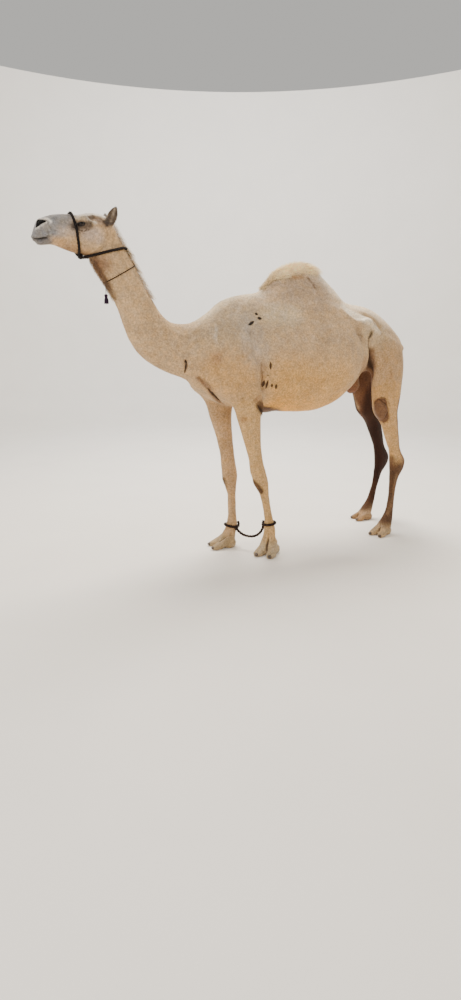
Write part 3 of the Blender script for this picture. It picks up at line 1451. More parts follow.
FACE_COLOURS = (
    Patch(((1.41, 0.0, 2.15), (1.3, 0.0, 2.2)), 0.12, "#868380", 0.95, B, 0.6),
    Patch(((1.42, 0.0, 2.09), (1.4, 0.0, 2.16)), 0.07, "#8b8886", 0.8, B, 0.4),
    Patch(((1.3, 0.0, 2.22), (1.2, 0.0, 2.24)), 0.08, "#8a8783", 0.9, B, 0.55),
    Patch(((1.25, 0.05, 2.19), (1.2, 0.055, 2.185)), 0.038, "#8d8378", 0.6, B, 0.3),
    Patch(((1.37, 0.045, 2.125), (1.31, 0.05, 2.14)), 0.042, "#7e7b79", 0.8, B, 0.3),
    Patch(((1.12, 0.0, 2.28), (1.02, 0.0, 2.27)), 0.085, "#cdc8bc", 0.9, B, 0.5),
    Patch(((1.12, 0.078, 2.15), (1.06, 0.078, 2.14)), 0.06, "#bba48f", 0.85, B, 0.3),
    Patch(((1.18, 0.06, 2.16), (1.25, 0.055, 2.15)), 0.045, "#ad9984", 0.7, B, 0.3),
    Patch(((1.155, 0.066, 2.232), (1.125, 0.075, 2.238)), 0.028, "#b8ad96", 0.7, B, 0.3),
    Patch(
        ((1.106, 0.073, 2.238), (1.08, 0.066, 2.238), (1.068, 0.062, 2.246)),
        0.022, "#6a5b4c", 0.9, B, 0.35,
    ),
    Patch(((1.05, 0.066, 2.236), (1.025, 0.068, 2.228)), 0.026, "#75614f", 0.85, B, 0.3),
    Patch(((1.04, 0.07, 2.222), (0.998, 0.077, 2.206)), 0.036, "#866f5a", 0.7, B, 0.1),
    Patch(
        ((1.111, 0.078, 2.24), (1.101, 0.083, 2.223), (1.086, 0.08, 2.214), (1.06, 0.079, 2.208)),
        0.014, "#dccfb8", 0.7, B, 0.0,
    ),
    Patch(
        ((1.18, 0.062, 2.184), (1.143, 0.094, 2.186), (1.095, 0.084, 2.194)),
        0.038, "#4b3f36", 0.85, B, 0.3,
    ),
    Patch(
        ((1.184, 0.058, 2.178), (1.16, 0.071, 2.162), (1.128, 0.076, 2.158), (1.104, 0.08, 2.17)),
        0.007, "#241b16", 0.8, B, 0.2,
    ),
    Patch(((1.172, 0.06, 2.16), (1.15, 0.072, 2.148), (1.124, 0.076, 2.147)), 0.006, "#3b2f27", 0.75, B, 0.2),
    Patch(((1.29, 0.03, 2.095), (1.23, 0.03, 2.085), (1.12, 0.045, 2.065)), 0.05, "#bd976b", 0.75, B, 0.1),
    Patch(((1.4, 0.02, 2.095), (1.36, 0.03, 2.088), (1.325, 0.03, 2.088)), 0.036, "#6b6764", 0.85, B, 0.3),
    Patch(((1.2, 0.0, 2.05), (1.08, 0.0, 2.03)), 0.07, "#8a6847", 0.75, B, 0.3),
    Patch(((1.048, 0.045, 2.005), (1.015, 0.06, 1.995)), 0.07, "#7b5a40", 0.8, B, 0.1),
    Patch(((1.055, 0.03, 1.995), (1.032, 0.028, 1.945), (0.99, 0.02, 1.88)), 0.05, "#6b4b32", 0.85, B, 0.1),
    Patch(((1.004, 0.074, 2.222), (0.992, 0.078, 2.204)), 0.017, "#33261f", 0.9, B, 0.2),
    Patch(((0.971, 0.078, 2.236), (0.94, 0.1, 2.305)), 0.045, "#463c33", 0.95, B, 0.6),
    Patch(
        ((0.964, 0.066, 2.23), (0.953, 0.077, 2.266), (0.949, 0.093, 2.287)),
        0.011, "#9c8a74", 0.8, B, 0.1,
    ),
    Patch(
        ((1.368, 0.018, 2.215), (1.347, 0.032, 2.216), (1.32, 0.046, 2.209), (1.306, 0.05, 2.197)),
        0.012, "#dcd6ca", 0.85, B, 0.2,
    ),
    Patch(
        ((1.391, 0.038, 2.156), (1.366, 0.052, 2.17), (1.346, 0.055, 2.182), (1.332, 0.055, 2.192)),
        0.01, "#d2cbbf", 0.75, B, 0.2,
    ),
    *(Patch(line, 0.0095, "#080706", 1.0, B, 0.7) for line in (*NOSTRIL, NOSTRIL_FRONT)),
    Patch(((1.353, 0.045, 2.193), (1.374, 0.033, 2.186)), 0.013, "#080706", 1.0, B, 0.75),
    Patch(MOUTH_LINE, 0.018, "#57514c", 0.65, B, 0.1, tapered=True),
    Patch(MOUTH_LINE, 0.0042, "#1f1916", 0.9, B, 0.3, tapered=True),
)


@dataclass(frozen=True)
class Mark:
    """A short dark scar or crease, narrower than the hide's own grain."""

    path: tuple[Point, ...]
    reach: float
    colour: str
    share: float
    height: float
    side: Side = L

    def patch(self) -> Patch:
        """The mark as paint."""
        return Patch(self.path, self.reach, self.colour, self.share, self.side, 0.35, tapered=True)

    def stroke(self) -> Stroke:
        """The mark as a dent or a ridge."""
        return Stroke(self.path, self.reach * 1.3, self.height, self.side)


def crest_creases() -> tuple[Mark, ...]:
    """Short brown creases across the lowest part of the neck's top line.

    Returns:
        The creases.
    """
    made = []
    for index in range(11):
        ahead = 0.4 + 0.028 * index
        up = 1.7 + 0.9 * (ahead - 0.5) ** 2
        reach = 0.035 + 0.012 * math.sin(index * 2.1)
        top = (ahead + 0.006, 0.012, up + 0.004)
        foot = (ahead - 0.006, 0.05 + reach * 0.5, up - reach)
        made.append(Mark((top, (ahead, 0.05, up - 0.016), foot), 0.0075, "#7a5c40", 0.65, -0.003, B))
    return tuple(made)


def clefts() -> tuple[Mark, ...]:
    """The dark cleft between the two toes of each foot.

    Returns:
        The clefts.
    """
    paths = (
        (L, ((-0.066, 0.2, 0.008), (-0.075, 0.193, 0.066), (-0.088, 0.189, 0.116), (-0.099, 0.189, 0.166))),
        (R, ((0.205, -0.19, 0.008), (0.18, -0.15, 0.045), (0.16, -0.129, 0.061), (0.105, -0.105, 0.104))),
        (L, ((-1.108, 0.236, 0.008), (-1.15, 0.232, 0.045), (-1.19, 0.225, 0.085))),
        (R, ((-1.28, -0.215, 0.008), (-1.32, -0.212, 0.045), (-1.36, -0.208, 0.085))),
    )
    return tuple(Mark(path, 0.013, "#3d2a1b", 0.85, -0.009, side) for side, path in paths)


def scars(rows: tuple, reach: float, colour: str, share: float) -> tuple[Mark, ...]:
    """Short straight scars between pairs of points."""
    return tuple(Mark(row, reach, colour, share, -0.001) for row in rows)


MARKS = (
    *scars((
        ((0.017, 0.14, 1.741), (-0.005, 0.146, 1.733)),
        ((0.005, 0.156, 1.711), (-0.025, 0.161, 1.707)),
        ((0.082, 0.17, 1.662), (0.036, 0.162, 1.687)),
    ), 0.0175, "#1c110a", 1.0),
    *scars((
        ((-0.062, 0.221, 1.42), (-0.067, 0.219, 1.371)),
        ((-0.032, 0.202, 1.294), (-0.025, 0.197, 1.253)),
        ((-0.057, 0.204, 1.297), (-0.046, 0.19, 1.241)),
        ((-0.087, 0.204, 1.272), (-0.093, 0.199, 1.248)),
        ((-0.119, 0.216, 1.272), (-0.124, 0.203, 1.226)),
        ((-0.052, 0.218, 1.34), (-0.05, 0.214, 1.32)),
    ), 0.015, "#36200f", 0.95),
    *scars((
        ((0.182, 0.236, 1.18), (0.156, 0.242, 1.19)),
        FLANK_SCAR,
        ((-0.86, 0.24, 1.607), (-0.88, 0.245, 1.585)),
    ), 0.007, "#5d4735", 0.6),
    *scars((
        ((-1.072, 0.217, 1.146), (-1.105, 0.235, 1.14), (-1.135, 0.243, 1.128)),
        ((-1.09, 0.228, 1.128), (-1.128, 0.24, 1.122)),
        ((-1.15, 0.244, 1.11), (-1.166, 0.245, 1.07)),
    ), 0.007, "#3a2416", 0.7),
    Mark(STIFLE_RIM, 0.007, "#33200f", 0.45, -0.003),
    Mark(
        ((0.527, 0.114, 1.436), (0.521, 0.117, 1.41), (0.519, 0.098, 1.373), (0.515, 0.066, 1.34)),
        0.011, "#2b1b12", 0.95, -0.006,
    ),
    Mark(
        ((0.424, 0.098, 1.306), (0.399, 0.121, 1.266), (0.362, 0.129, 1.232)),
        0.012, "#6b4e38", 0.6, -0.003, B,
    ),
    Mark(
        ((0.372, 0.129, 1.24), (0.29, 0.072, 1.175), (0.198, 0.005, 1.122)),
        0.011, "#2f1e14", 0.9, -0.006, B,
    ),
    Mark(
        (
            (-0.002, 0.221, 1.426), (-0.005, 0.217, 1.368), (-0.019, 0.207, 1.317), (-0.014, 0.199, 1.25),
            (0.024, 0.241, 1.203),
        ),
        0.008, "#6a4c33", 0.65, -0.003, B,
    ),
    *clefts(),
    Mark(((-0.24, 0.27, 1.36), (-0.42, 0.285, 1.31), (-0.6, 0.27, 1.33)), 0.0045, "#a9875f", 0.35, -0.0004),
    *crest_creases(),
)
PAINT = (*FIELDS, *LEG_COLOURS, *FEET_COLOURS, *MARKINGS, *FACE_COLOURS, *(mark.patch() for mark in MARKS))


def painted(points: Rows) -> Rows:
    """The coat's own colour at points of the body.

    Args:
        points: rows of (ahead, left, up).

    Returns:
        Rows of linear red, green and blue.
    """
    out = np.tile(np.array(linear(COAT_BASE)), (len(points), 1))
    for patch in PAINT:
        seen, counts = folded(points, patch.side)
        scale = np.array(patch.flat)
        path = tuple(map(tuple, np.array(patch.path) * scale))
        seen = seen * scale
        near = within(seen, counts, path, patch.reach)
        gap, along = path_distance(seen[near], path)
        gap /= patch.reach
        if patch.tapered:
            gap /= 0.3 + 0.7 * np.sin(np.pi * along)
        share = patch.share * (1.0 - ramp(gap, patch.edge, 1.0))
        out[near] += share[:, None] * (np.array(linear(patch.colour)) - out[near])
    return out


BARE_LINES = (   # a line, how far from it the skin is bare, and where the coat is full again
    (MOUTH_LINE, 0.006, 0.016),
    (NOSTRIL[1], 0.012, 0.024),
    (((-0.1, 0.0, 1.09), (-0.19, 0.0, 1.09)), 0.06, 0.1),
    (((-1.088, 0.205, 1.05), (-1.115, 0.205, 0.99)), 0.04, 0.06),
)


def bareness(points: Rows) -> Rows:
    """Where the skin is nearly bare: the lips, the nostrils' rims, the pads and the feet's edges.

    Args:
        points: rows of (ahead, left, up).

    Returns:
        For each point 1 where it is bare, 0 where the coat is full.
    """
    seen = folded(points, Side.BOTH)[0]
    bare = 1.0 - ramp(points[:, 2], 0.01, 0.03)
    for path, start, end in BARE_LINES:
        bare = np.maximum(bare, 1.0 - ramp(path_distance(seen, path)[0], start, end))
    return bare


def eye_skin(points: Rows, lids: Lids, colours: Rows) -> None:
    """Darken the lids' rims and the slit's corners, in place.

    Args:
        points: rows of (ahead, left, up).
        lids: the eyelids.
        colours: the points' colours.
    """
    seen = folded(points, Side.BOTH)[0]
    near = np.flatnonzero(lids.gap(seen) < 0.05)
    edge = lids.edge(seen[near])
    dark = np.array(linear("#1c1613"))
    rim = 0.95 * (1.0 - ramp(-edge, 0.05, 0.26))
    colours[near] += rim[:, None] * (dark - colours[near])


# ---------------------------------------------------------------- the coat
@dataclass(frozen=True)
class Lie:
    """Which way the hair lies near one place."""

    place: Point
    reach: float
    way: Point


LIES = (
    Lie((-0.4, 0.2, 1.45), 0.5, (-1.0, 0.0, -0.45)),
    Lie((0.25, 0.2, 1.5), 0.3, (-0.75, 0.0, -0.75)),
    Lie((-1.05, 0.2, 1.45), 0.35, (-0.65, 0.0, -0.85)),
    Lie((-1.35, 0.0, 1.4), 0.15, (-0.1, 0.0, -1.0)),
    Lie((-0.3, 0.1, 2.0), 0.2, (-0.6, 0.0, -0.3)),
    Lie((0.55, 0.0, 1.55), 0.28, (-0.95, 0.0, -0.25)),
    Lie((0.8, 0.0, 1.8), 0.22, (-0.35, 0.0, -0.95)),
    Lie((0.95, 0.0, 2.05), 0.14, (-0.5, 0.0, -0.85)),
    Lie((1.0, 0.06, 2.15), 0.09, (-0.9, 0.0, -0.4)),
    Lie((1.25, 0.05, 2.15), 0.2, (-1.0, 0.0, 0.05)),
    Lie((0.95, 0.09, 2.27), 0.05, (-0.4, 0.3, 1.0)),
    Lie((0.08, 0.16, 0.7), 0.4, (-0.1, 0.0, -1.0)),
    Lie((-1.25, 0.2, 0.75), 0.4, (-0.2, 0.0, -1.0)),
    Lie((0.0, 0.16, 0.2), 0.25, (0.0, 0.0, -1.0)),
    Lie((-1.3, 0.2, 0.2), 0.25, (0.0, 0.0, -1.0)),
)


def hair_way(points: Rows, normals: Rows) -> Rows:
    """Which way the hair lies at points of the body, along the surface.

    Args:
        points: rows of (ahead, left, up).
        normals: the ways out of the hide there.

    Returns:
        Rows of directions, each one long.
    """
    seen = folded(points, Side.BOTH)[0]
    total = np.zeros_like(points)
    for lie in LIES:
        gap = np.linalg.norm(seen - np.array(lie.place), axis=1) / lie.reach
        way = np.tile(np.array(lie.way), (len(points), 1))
        way[:, 1] *= np.sign(points[:, 1])
        total += (1.0 / (0.02 + gap**4))[:, None] * way
    return unit(total - np.sum(total * normals, axis=1)[:, None] * normals)


@dataclass(frozen=True)
class Tufts:
    """One field of tufts: how many, how long, and how they stand."""

    name: str
    low: Point                 # the box of roots: lowest and highest (ahead, left, up)
    high: Point
    count: int
    long: tuple[float, float]
    wide: float
    lift: float                # how steeply they rise, as a slope
    scatter: float = 0.22      # how much their ways differ, in radians
    bow: float = 0.0           # how far they bow outwards, as a share of the length
    sag: float = 0.0           # how far the tips hang down, as a share of the length
    rings: int = 2
    slot: str = "hide"
    seed: int = 1
    lighter: tuple[float, float] = (0.84, 1.18)
    path: tuple[Point, ...] = ()
    reach: float = 0.0         # roots keep within this of the path
    way: Point | None = None
    colour: str = ""
    soft: bool = True          # lit as the hide under them is
    stands_for: str = ""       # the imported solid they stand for


ATLAS = (   # a region's axis from start to end, and its rectangle on the unwrap
    ((-1.45, 0.0, 1.45), (0.45, 0.0, 1.45), (0.0, 0.0, 0.58, 0.46)),
    ((0.45, 0.0, 1.45), (0.98, 0.0, 2.08), (0.6, 0.0, 1.0, 0.46)),
    ((0.96, 0.0, 2.15), (1.43, 0.0, 2.13), (0.0, 0.48, 0.4, 0.76)),
    ((0.08, 0.16, 1.06), (-0.06, 0.16, 0.0), (0.42, 0.48, 0.7, 0.62)),
    ((0.12, -0.16, 1.06), (0.1, -0.16, 0.0), (0.72, 0.48, 1.0, 0.62)),
    ((-1.15, 0.18, 1.1), (-1.25, 0.22, 0.0), (0.42, 0.64, 0.7, 0.78)),
    ((-1.22, -0.17, 1.1), (-1.42, -0.2, 0.0), (0.72, 0.64, 1.0, 0.78)),
    ((-1.4, 0.0, 1.58), (-1.41, 0.0, 0.9), (0.0, 0.8, 0.3, 0.96)),
    ((-0.85, 0.0, 1.95), (0.05, 0.0, 1.95), (0.32, 0.8, 0.7, 0.96)),
)


def atlas_places(points: Rows) -> Rows:
    """Where roots lie on an unwrap of the body: along each region's axis, and round it.

    Args:
        points: rows of (ahead, left, up).

    Returns:
        Rows of places on the unwrap.
    """
    ahead, left, up = points.T
    region = np.zeros(len(points), dtype=int)
    region[(ahead > 0.45) & (up > 1.2)] = 1
    region[(ahead > 0.93) & (up > 2.02)] = 2
    region[(up < 1.06) & (ahead > -0.5)] = np.where(left[(up < 1.06) & (ahead > -0.5)] > 0, 3, 4)
    region[(up < 1.1) & (ahead < -0.7)] = np.where(left[(up < 1.1) & (ahead < -0.7)] > 0, 5, 6)
    region[(ahead < -1.37) & (np.abs(left) < 0.05) & (up < 1.58)] = 7
    region[(up > 1.92) & (ahead < 0.06)] = 8
    out = np.zeros((len(points), 2))
    for index, (start, end, (left_edge, low, right_edge, high)) in enumerate(ATLAS):
        here = region == index
        if not here.any():
            continue
        axis = unit(np.array(end) - np.array(start))
        rays = points[here] - np.array(start)
        along = rays @ axis / np.linalg.norm(np.array(end) - np.array(start))
        side = unit(np.cross(axis, (0.0, 1.0, 0.0)))
        other = np.cross(axis, side)
        turn = np.arctan2(rays @ side, rays @ other) / FULL_TURN + 0.5
        out[here, 0] = left_edge + (right_edge - left_edge) * np.clip(along, 0.0, 1.0)
        out[here, 1] = low + (high - low) * turn
    return out


PATCH_WIDE = 0.0015    # half the width of one tuft's patch of the unwrap
TIP_LIGHTER = 1.08     # how much paler tufts end than they start
ROOT_DEPTH = 0.0008    # how deep tufts are rooted in the hide


def blade_faces(rings: int) -> Rows:
    """The triangles of one closed blade of three sides with that many rings and a tip.

    Args:
        rings: how many rings of three points it has.

    Returns:
        Rows of three point numbers.
    """
    made = [(0, 1, 2)]
    for ring in range(rings):
        low, high = 3 * ring, 3 * ring + 3
        for corner in range(3):
            ahead = (corner + 1) % 3
            if ring == rings - 1:
                made.append((low + ahead, low + corner, high))
            else:
                made.append((low + ahead, low + corner, high + ahead))
                made.append((high + ahead, low + corner, high + corner))
    return np.array(made)


@dataclass
class Hairs:
    """Tufts to be drawn: one row each, in the body's frame."""

    roots: Rows
    ways: Rows        # the way each runs at its root, one long
    outs: Rows        # the way out of the hide at each root
    longs: Rows
    wide: Rows
    colours: Rows
    bow: float = 0.03       # how far the middle bows outwards, as a share of the length
    sag: float = 0.0        # how far the tip hangs down, as a share of the length
    rings: int = 2
    thick: float = 0.3      # how high a blade is, as a share of its width
    soft: bool = True       # it is lit as the hide under it is

    def piece(self, name: str) -> Thing:
        """Draw them as slim closed blades of three sides, each with its patch of the unwrap.

        Args:
            name: the piece's name.

        Returns:
            The piece.
        """
        count, each = len(self.roots), 3 * self.rings + 1
        across = unit(np.cross(self.ways, self.outs))
        over = unit(np.cross(across, self.ways))
        points = np.zeros((count, each, 3))
        for ring in range(self.rings + 1):
            share = ring / self.rings
            line = self.roots + self.ways * (self.longs * share)[:, None]
            line = line + self.outs * (self.longs * self.bow * 4 * share * (1 - share))[:, None]
            line[:, 2] -= self.longs * self.sag * share**2
            if ring == self.rings:
                points[:, -1] = line
                break
            for corner, (side, rise) in enumerate(((-0.5, 0.0), (0.5, 0.0), (0.0, self.thick))):
                shift = (across * side + over * rise) * (self.wide * (1.0 - 0.55 * share**1.5))[:, None]
                points[:, 3 * ring + corner] = line + shift
        faces = (blade_faces(self.rings)[None] + each * np.arange(count)[:, None, None]).reshape(-1, 3)
        mesh = mesh_from(name, turned(points.reshape(-1, 3)), faces)
        tones = np.repeat(self.colours[:, None], each, axis=1)
        tones[:, -1] *= TIP_LIGHTER
        put_colours(mesh, "coat_colour", tones.reshape(-1, 3))
        corners = np.zeros((each, 2))
        for ring in range(self.rings):
            for corner in range(3):
                angle = FULL_TURN * corner / 3
                reach = 1.0 - ring / self.rings
                corners[3 * ring + corner] = (reach * math.cos(angle), reach * math.sin(angle))
        places = np.clip(atlas_places(self.roots), 0.002, 0.998)[:, None] + PATCH_WIDE * corners[None]
        layer = mesh.uv_layers.new(name="OFBake")
        layer.data.foreach_set("uv", places.reshape(-1, 2)[faces.ravel()].astype(np.float32).ravel())
        if self.soft:
            ways = np.repeat(self.outs * TO_BODY, each, axis=0)
            mesh.normals_split_custom_set_from_vertices(ways.astype(np.float32))
        return new_piece(name, mesh)


SHORT_HAIR = (   # name, box of roots, count, lengths, width, slope, scatter
    ("coat_face", (1.02, -0.2, 1.9), (1.45, 0.2, 2.4), 14000, (0.005, 0.009), 0.0008, 0.12, 0.3),
    ("coat_poll", (0.86, -0.2, 1.95), (1.02, 0.2, 2.4), 9000, (0.007, 0.012), 0.001, 0.16, 0.35),
    ("coat_neck", (0.36, -0.3, 1.2), (1.02, 0.3, 2.06), 15000, (0.012, 0.02), 0.0013, 0.1, 0.26),
    ("coat_shoulder", (-0.1, -0.4, 1.06), (0.36, 0.4, 1.95), 15000, (0.012, 0.02), 0.0014, 0.09, 0.24),
    ("coat_barrel", (-0.72, -0.4, 1.0), (-0.1, 0.4, 1.95), 15000, (0.013, 0.021), 0.0015, 0.09, 0.24),
    ("coat_rump", (-1.45, -0.4, 0.95), (-0.72, 0.4, 1.95), 15000, (0.013, 0.021), 0.0015, 0.09, 0.24),
    ("coat_fore_legs", (-0.45, -0.4, 0.05), (0.36, 0.4, 1.06), 10000, (0.008, 0.014), 0.0012, 0.1, 0.22),
    ("coat_hind_legs", (-1.6, -0.4, 0.05), (-0.85, 0.4, 0.95), 10000, (0.008, 0.014), 0.0012, 0.1, 0.22),
    ("coat_hump", (-0.85, -0.3, 1.92), (0.1, 0.3, 2.2), 7000, (0.014, 0.024), 0.0016, 0.12, 0.3),
)


@dataclass
class Coat:
    """All the hair that stands off the hide."""

    hide: Thing
    lids: Lids
    off_eye: float = 0.024        # no roots are nearer to the eye's middle than this,
    off_lids: float = 0.03        # or than this on the lids,
    off_nostril: float = 0.0125   # or nearer than this to the nostril's lines
    off_lips: float = 0.005       # and the mouth's

    FIELDS = (
        *(Tufts(*row, seed=11 + index) for index, row in enumerate(SHORT_HAIR)),
        Tufts(
            "hump_locks", (-0.58, -0.22, 1.86), (0.02, 0.22, 2.2), 6800,
            (0.026, 0.07), 0.0016, 0.6, 0.55, 0.12, 0.25, 3,
            seed=21, path=((-0.235, 0.0, 2.045), (-0.36, 0.0, 2.09), (-0.465, 0.0, 2.065)), reach=0.12,
            way=(-0.7, 0.4, 0.1), colour="#fbe6b6", lighter=(0.7, 1.55), soft=False,
        ),
        Tufts(
            "hump_fringe", (-0.3, -0.12, 1.9), (0.02, 0.12, 2.2), 1700,
            (0.018, 0.046), 0.0015, 0.75, 0.6, 0.12, 0.25, 3,
            seed=26, path=((-0.11, 0.0, 1.94), (-0.17, 0.0, 1.985), (-0.24, 0.0, 2.045)), reach=0.05,
            way=(-0.5, 0.3, 0.35), colour="#eed3a0", lighter=(0.62, 1.5), soft=False,
        ),
        Tufts(
            "nape_locks", (0.68, -0.06, 1.8), (0.99, 0.06, 2.26), 1500,
            (0.022, 0.055), 0.0014, 0.95, 0.55, 0.1, 0.45, 4,
            seed=22, path=((0.97, 0.0, 2.225), (0.88, 0.0, 2.1), (0.8, 0.0, 1.98), (0.72, 0.0, 1.84)),
            reach=0.032, way=(-0.5, 0.2, -0.6), colour="#d6bd93", lighter=(0.8, 1.2), soft=False,
        ),
        Tufts(
            "throat_locks", (0.9, -0.07, 1.8), (1.1, 0.07, 2.03), 1300,
            (0.014, 0.028), 0.0014, 0.45, 0.45, 0.06, 0.35, 3,
            seed=23, path=((1.09, 0.0, 2.015), (1.03, 0.0, 1.95), (0.97, 0.0, 1.83)), reach=0.05,
            way=(-0.2, 0.1, -0.9), lighter=(0.7, 1.3), soft=False,
        ),
        Tufts(
            "elbow_locks", (-0.12, -0.3, 1.05), (0.06, 0.3, 1.2), 1000,
            (0.014, 0.026), 0.0016, 0.3, 0.35, 0.06, 0.25, 3,
            seed=24, path=((0.02, 0.225, 1.125), (-0.02, 0.19, 1.105)), reach=0.05, way=(-0.7, 0.1, -0.6),
        ),
        Tufts(
            "tail_locks", (-1.46, -0.06, 0.88), (-1.36, 0.06, 1.3), 3400,
            (0.05, 0.11), 0.0017, 0.2, 0.14, 0.03, 0.1, 5,
            seed=25, slot="tail_hair", way=(-0.05, 0.05, -1.0), colour="#4b3729", lighter=(0.8, 1.3),
            soft=False, stands_for="tail_tuft",
        ),
    )

    def samples(self, tufts: Tufts) -> tuple[Rows, Rows, Rows]:
        """Roots spread over the hide inside the field's box, their rest places and the ways out.

        Args:
            tufts: the field.

        Returns:
            Three sets of rows: the roots, their rest places and the ways out.
        """
        mesh = self.hide.data
        triangles = read(mesh.loops, "vertex_index", 1, int).reshape(-1, 3)
        body = turned(points_of(mesh))
        ways = ways_out(mesh)
        middles = body[triangles].mean(axis=1)
        inside = np.all((middles >= np.array(tufts.low)) & (middles < np.array(tufts.high)), axis=1)
        weight = np.ones(len(middles))
        if tufts.path:
            gap = path_distance(middles, tufts.path)[0] / tufts.reach
            inside &= gap < 1.0
            weight = 1.02 - ramp(gap, 0.45, 1.0)
        chosen = triangles[inside]
        corners = body[chosen]
        areas = np.linalg.norm(np.cross(corners[:, 1] - corners[:, 0], corners[:, 2] - corners[:, 0]), axis=1)
        areas *= weight[inside]
        rng = np.random.default_rng(tufts.seed)
        picked = rng.choice(len(chosen), tufts.count, p=areas / areas.sum())
        shares = rng.random((tufts.count, 2))
        flip = shares.sum(axis=1) > 1.0
        shares[flip] = 1.0 - shares[flip]
        weights = np.stack((1.0 - shares.sum(axis=1), shares[:, 0], shares[:, 1]), axis=1)
        roots = np.einsum("ij,ijk->ik", weights, corners[picked])
        rests = np.einsum("ij,ijk->ik", weights, places_of(mesh, REST)[chosen[picked]])
        return roots, rests, unit(np.einsum("ij,ijk->ik", weights, ways[chosen[picked]]))

    def off_marks(self, roots: Rows, reaches: Rows) -> Rows:
        """Which tufts cross no scar or crease, so that those stay bare.

        Args:
            roots: rows of (ahead, left, up).
            reaches: from each root to its tip.

        Returns:
            For each tuft, whether it is clear.
        """
        clear = np.ones(len(roots), dtype=bool)
        for share in (0.0, 0.5, 1.0):
            places = roots + reaches * share
            for mark in MARKS:
                seen, counts = folded(places, mark.side)
                near = within(seen, counts, mark.path, mark.reach)
                clear[near[path_distance(seen[near], mark.path)[0] < mark.reach * 0.9]] = False
        return clear

    def grow(self, tufts: Tufts) -> Thing:
        """Grow one field of tufts.

        Args:
            tufts: the field.

        Returns:
            The field, as one piece.
        """
        roots, rests, outs = self.samples(tufts)
        seen = folded(roots, Side.BOTH)[0]
        off = self.lids.gap(seen)
        keep = (np.abs(self.lids.edge(seen) + 0.5) > 0.5) | (off > self.off_lids)
        keep &= off > self.off_eye
        flat = folded(rests, Side.BOTH)[0]
        for line in NOSTRIL:
            keep &= path_distance(flat, line)[0] > self.off_nostril
        keep &= path_distance(flat, MOUTH_LINE)[0] > self.off_lips
        roots, rests, outs = roots[keep], rests[keep], outs[keep]
        rng = np.random.default_rng(tufts.seed + 100)
        ways = hair_way(roots, outs)
        if tufts.way is not None:
            way = np.tile(np.array(tufts.way), (len(roots), 1))
            way[:, 1] *= np.sign(roots[:, 1])
            ways = unit(way - 0.8 * np.sum(way * outs, axis=1)[:, None] * outs)
        across = np.cross(ways, outs)
        swirl = np.array([noise.noise(Vector(point * 42.0)) for point in roots])
        turn = rng.normal(0.0, 0.6 * tufts.scatter, len(roots)) + 1.6 * tufts.scatter * swirl
        ways = ways * np.cos(turn)[:, None] + across * np.sin(turn)[:, None]
        lift = tufts.lift * rng.uniform(0.5, 1.5, len(roots))
        ways = unit(ways + outs * lift[:, None])
        longs = rng.uniform(*tufts.long, len(roots))
        clear = self.off_marks(rests, ways * longs[:, None])
        roots, rests, outs, ways, longs = roots[clear], rests[clear], outs[clear], ways[clear], longs[clear]
        tones = painted(rests) * rng.uniform(*tufts.lighter, (len(roots), 1))
        if tufts.colour:
            own = np.array(linear(tufts.colour)) * rng.uniform(*tufts.lighter, (len(roots), 1))
            tones += 0.7 * (own - tones)
        wide = tufts.wide * rng.uniform(0.7, 1.3, len(roots))
        hairs = Hairs(
            roots - outs * ROOT_DEPTH, ways, outs, longs, wide, tones,
            0.03 + tufts.bow, tufts.sag, tufts.rings, soft=tufts.soft,
        )
        return hairs.piece(tufts.name)


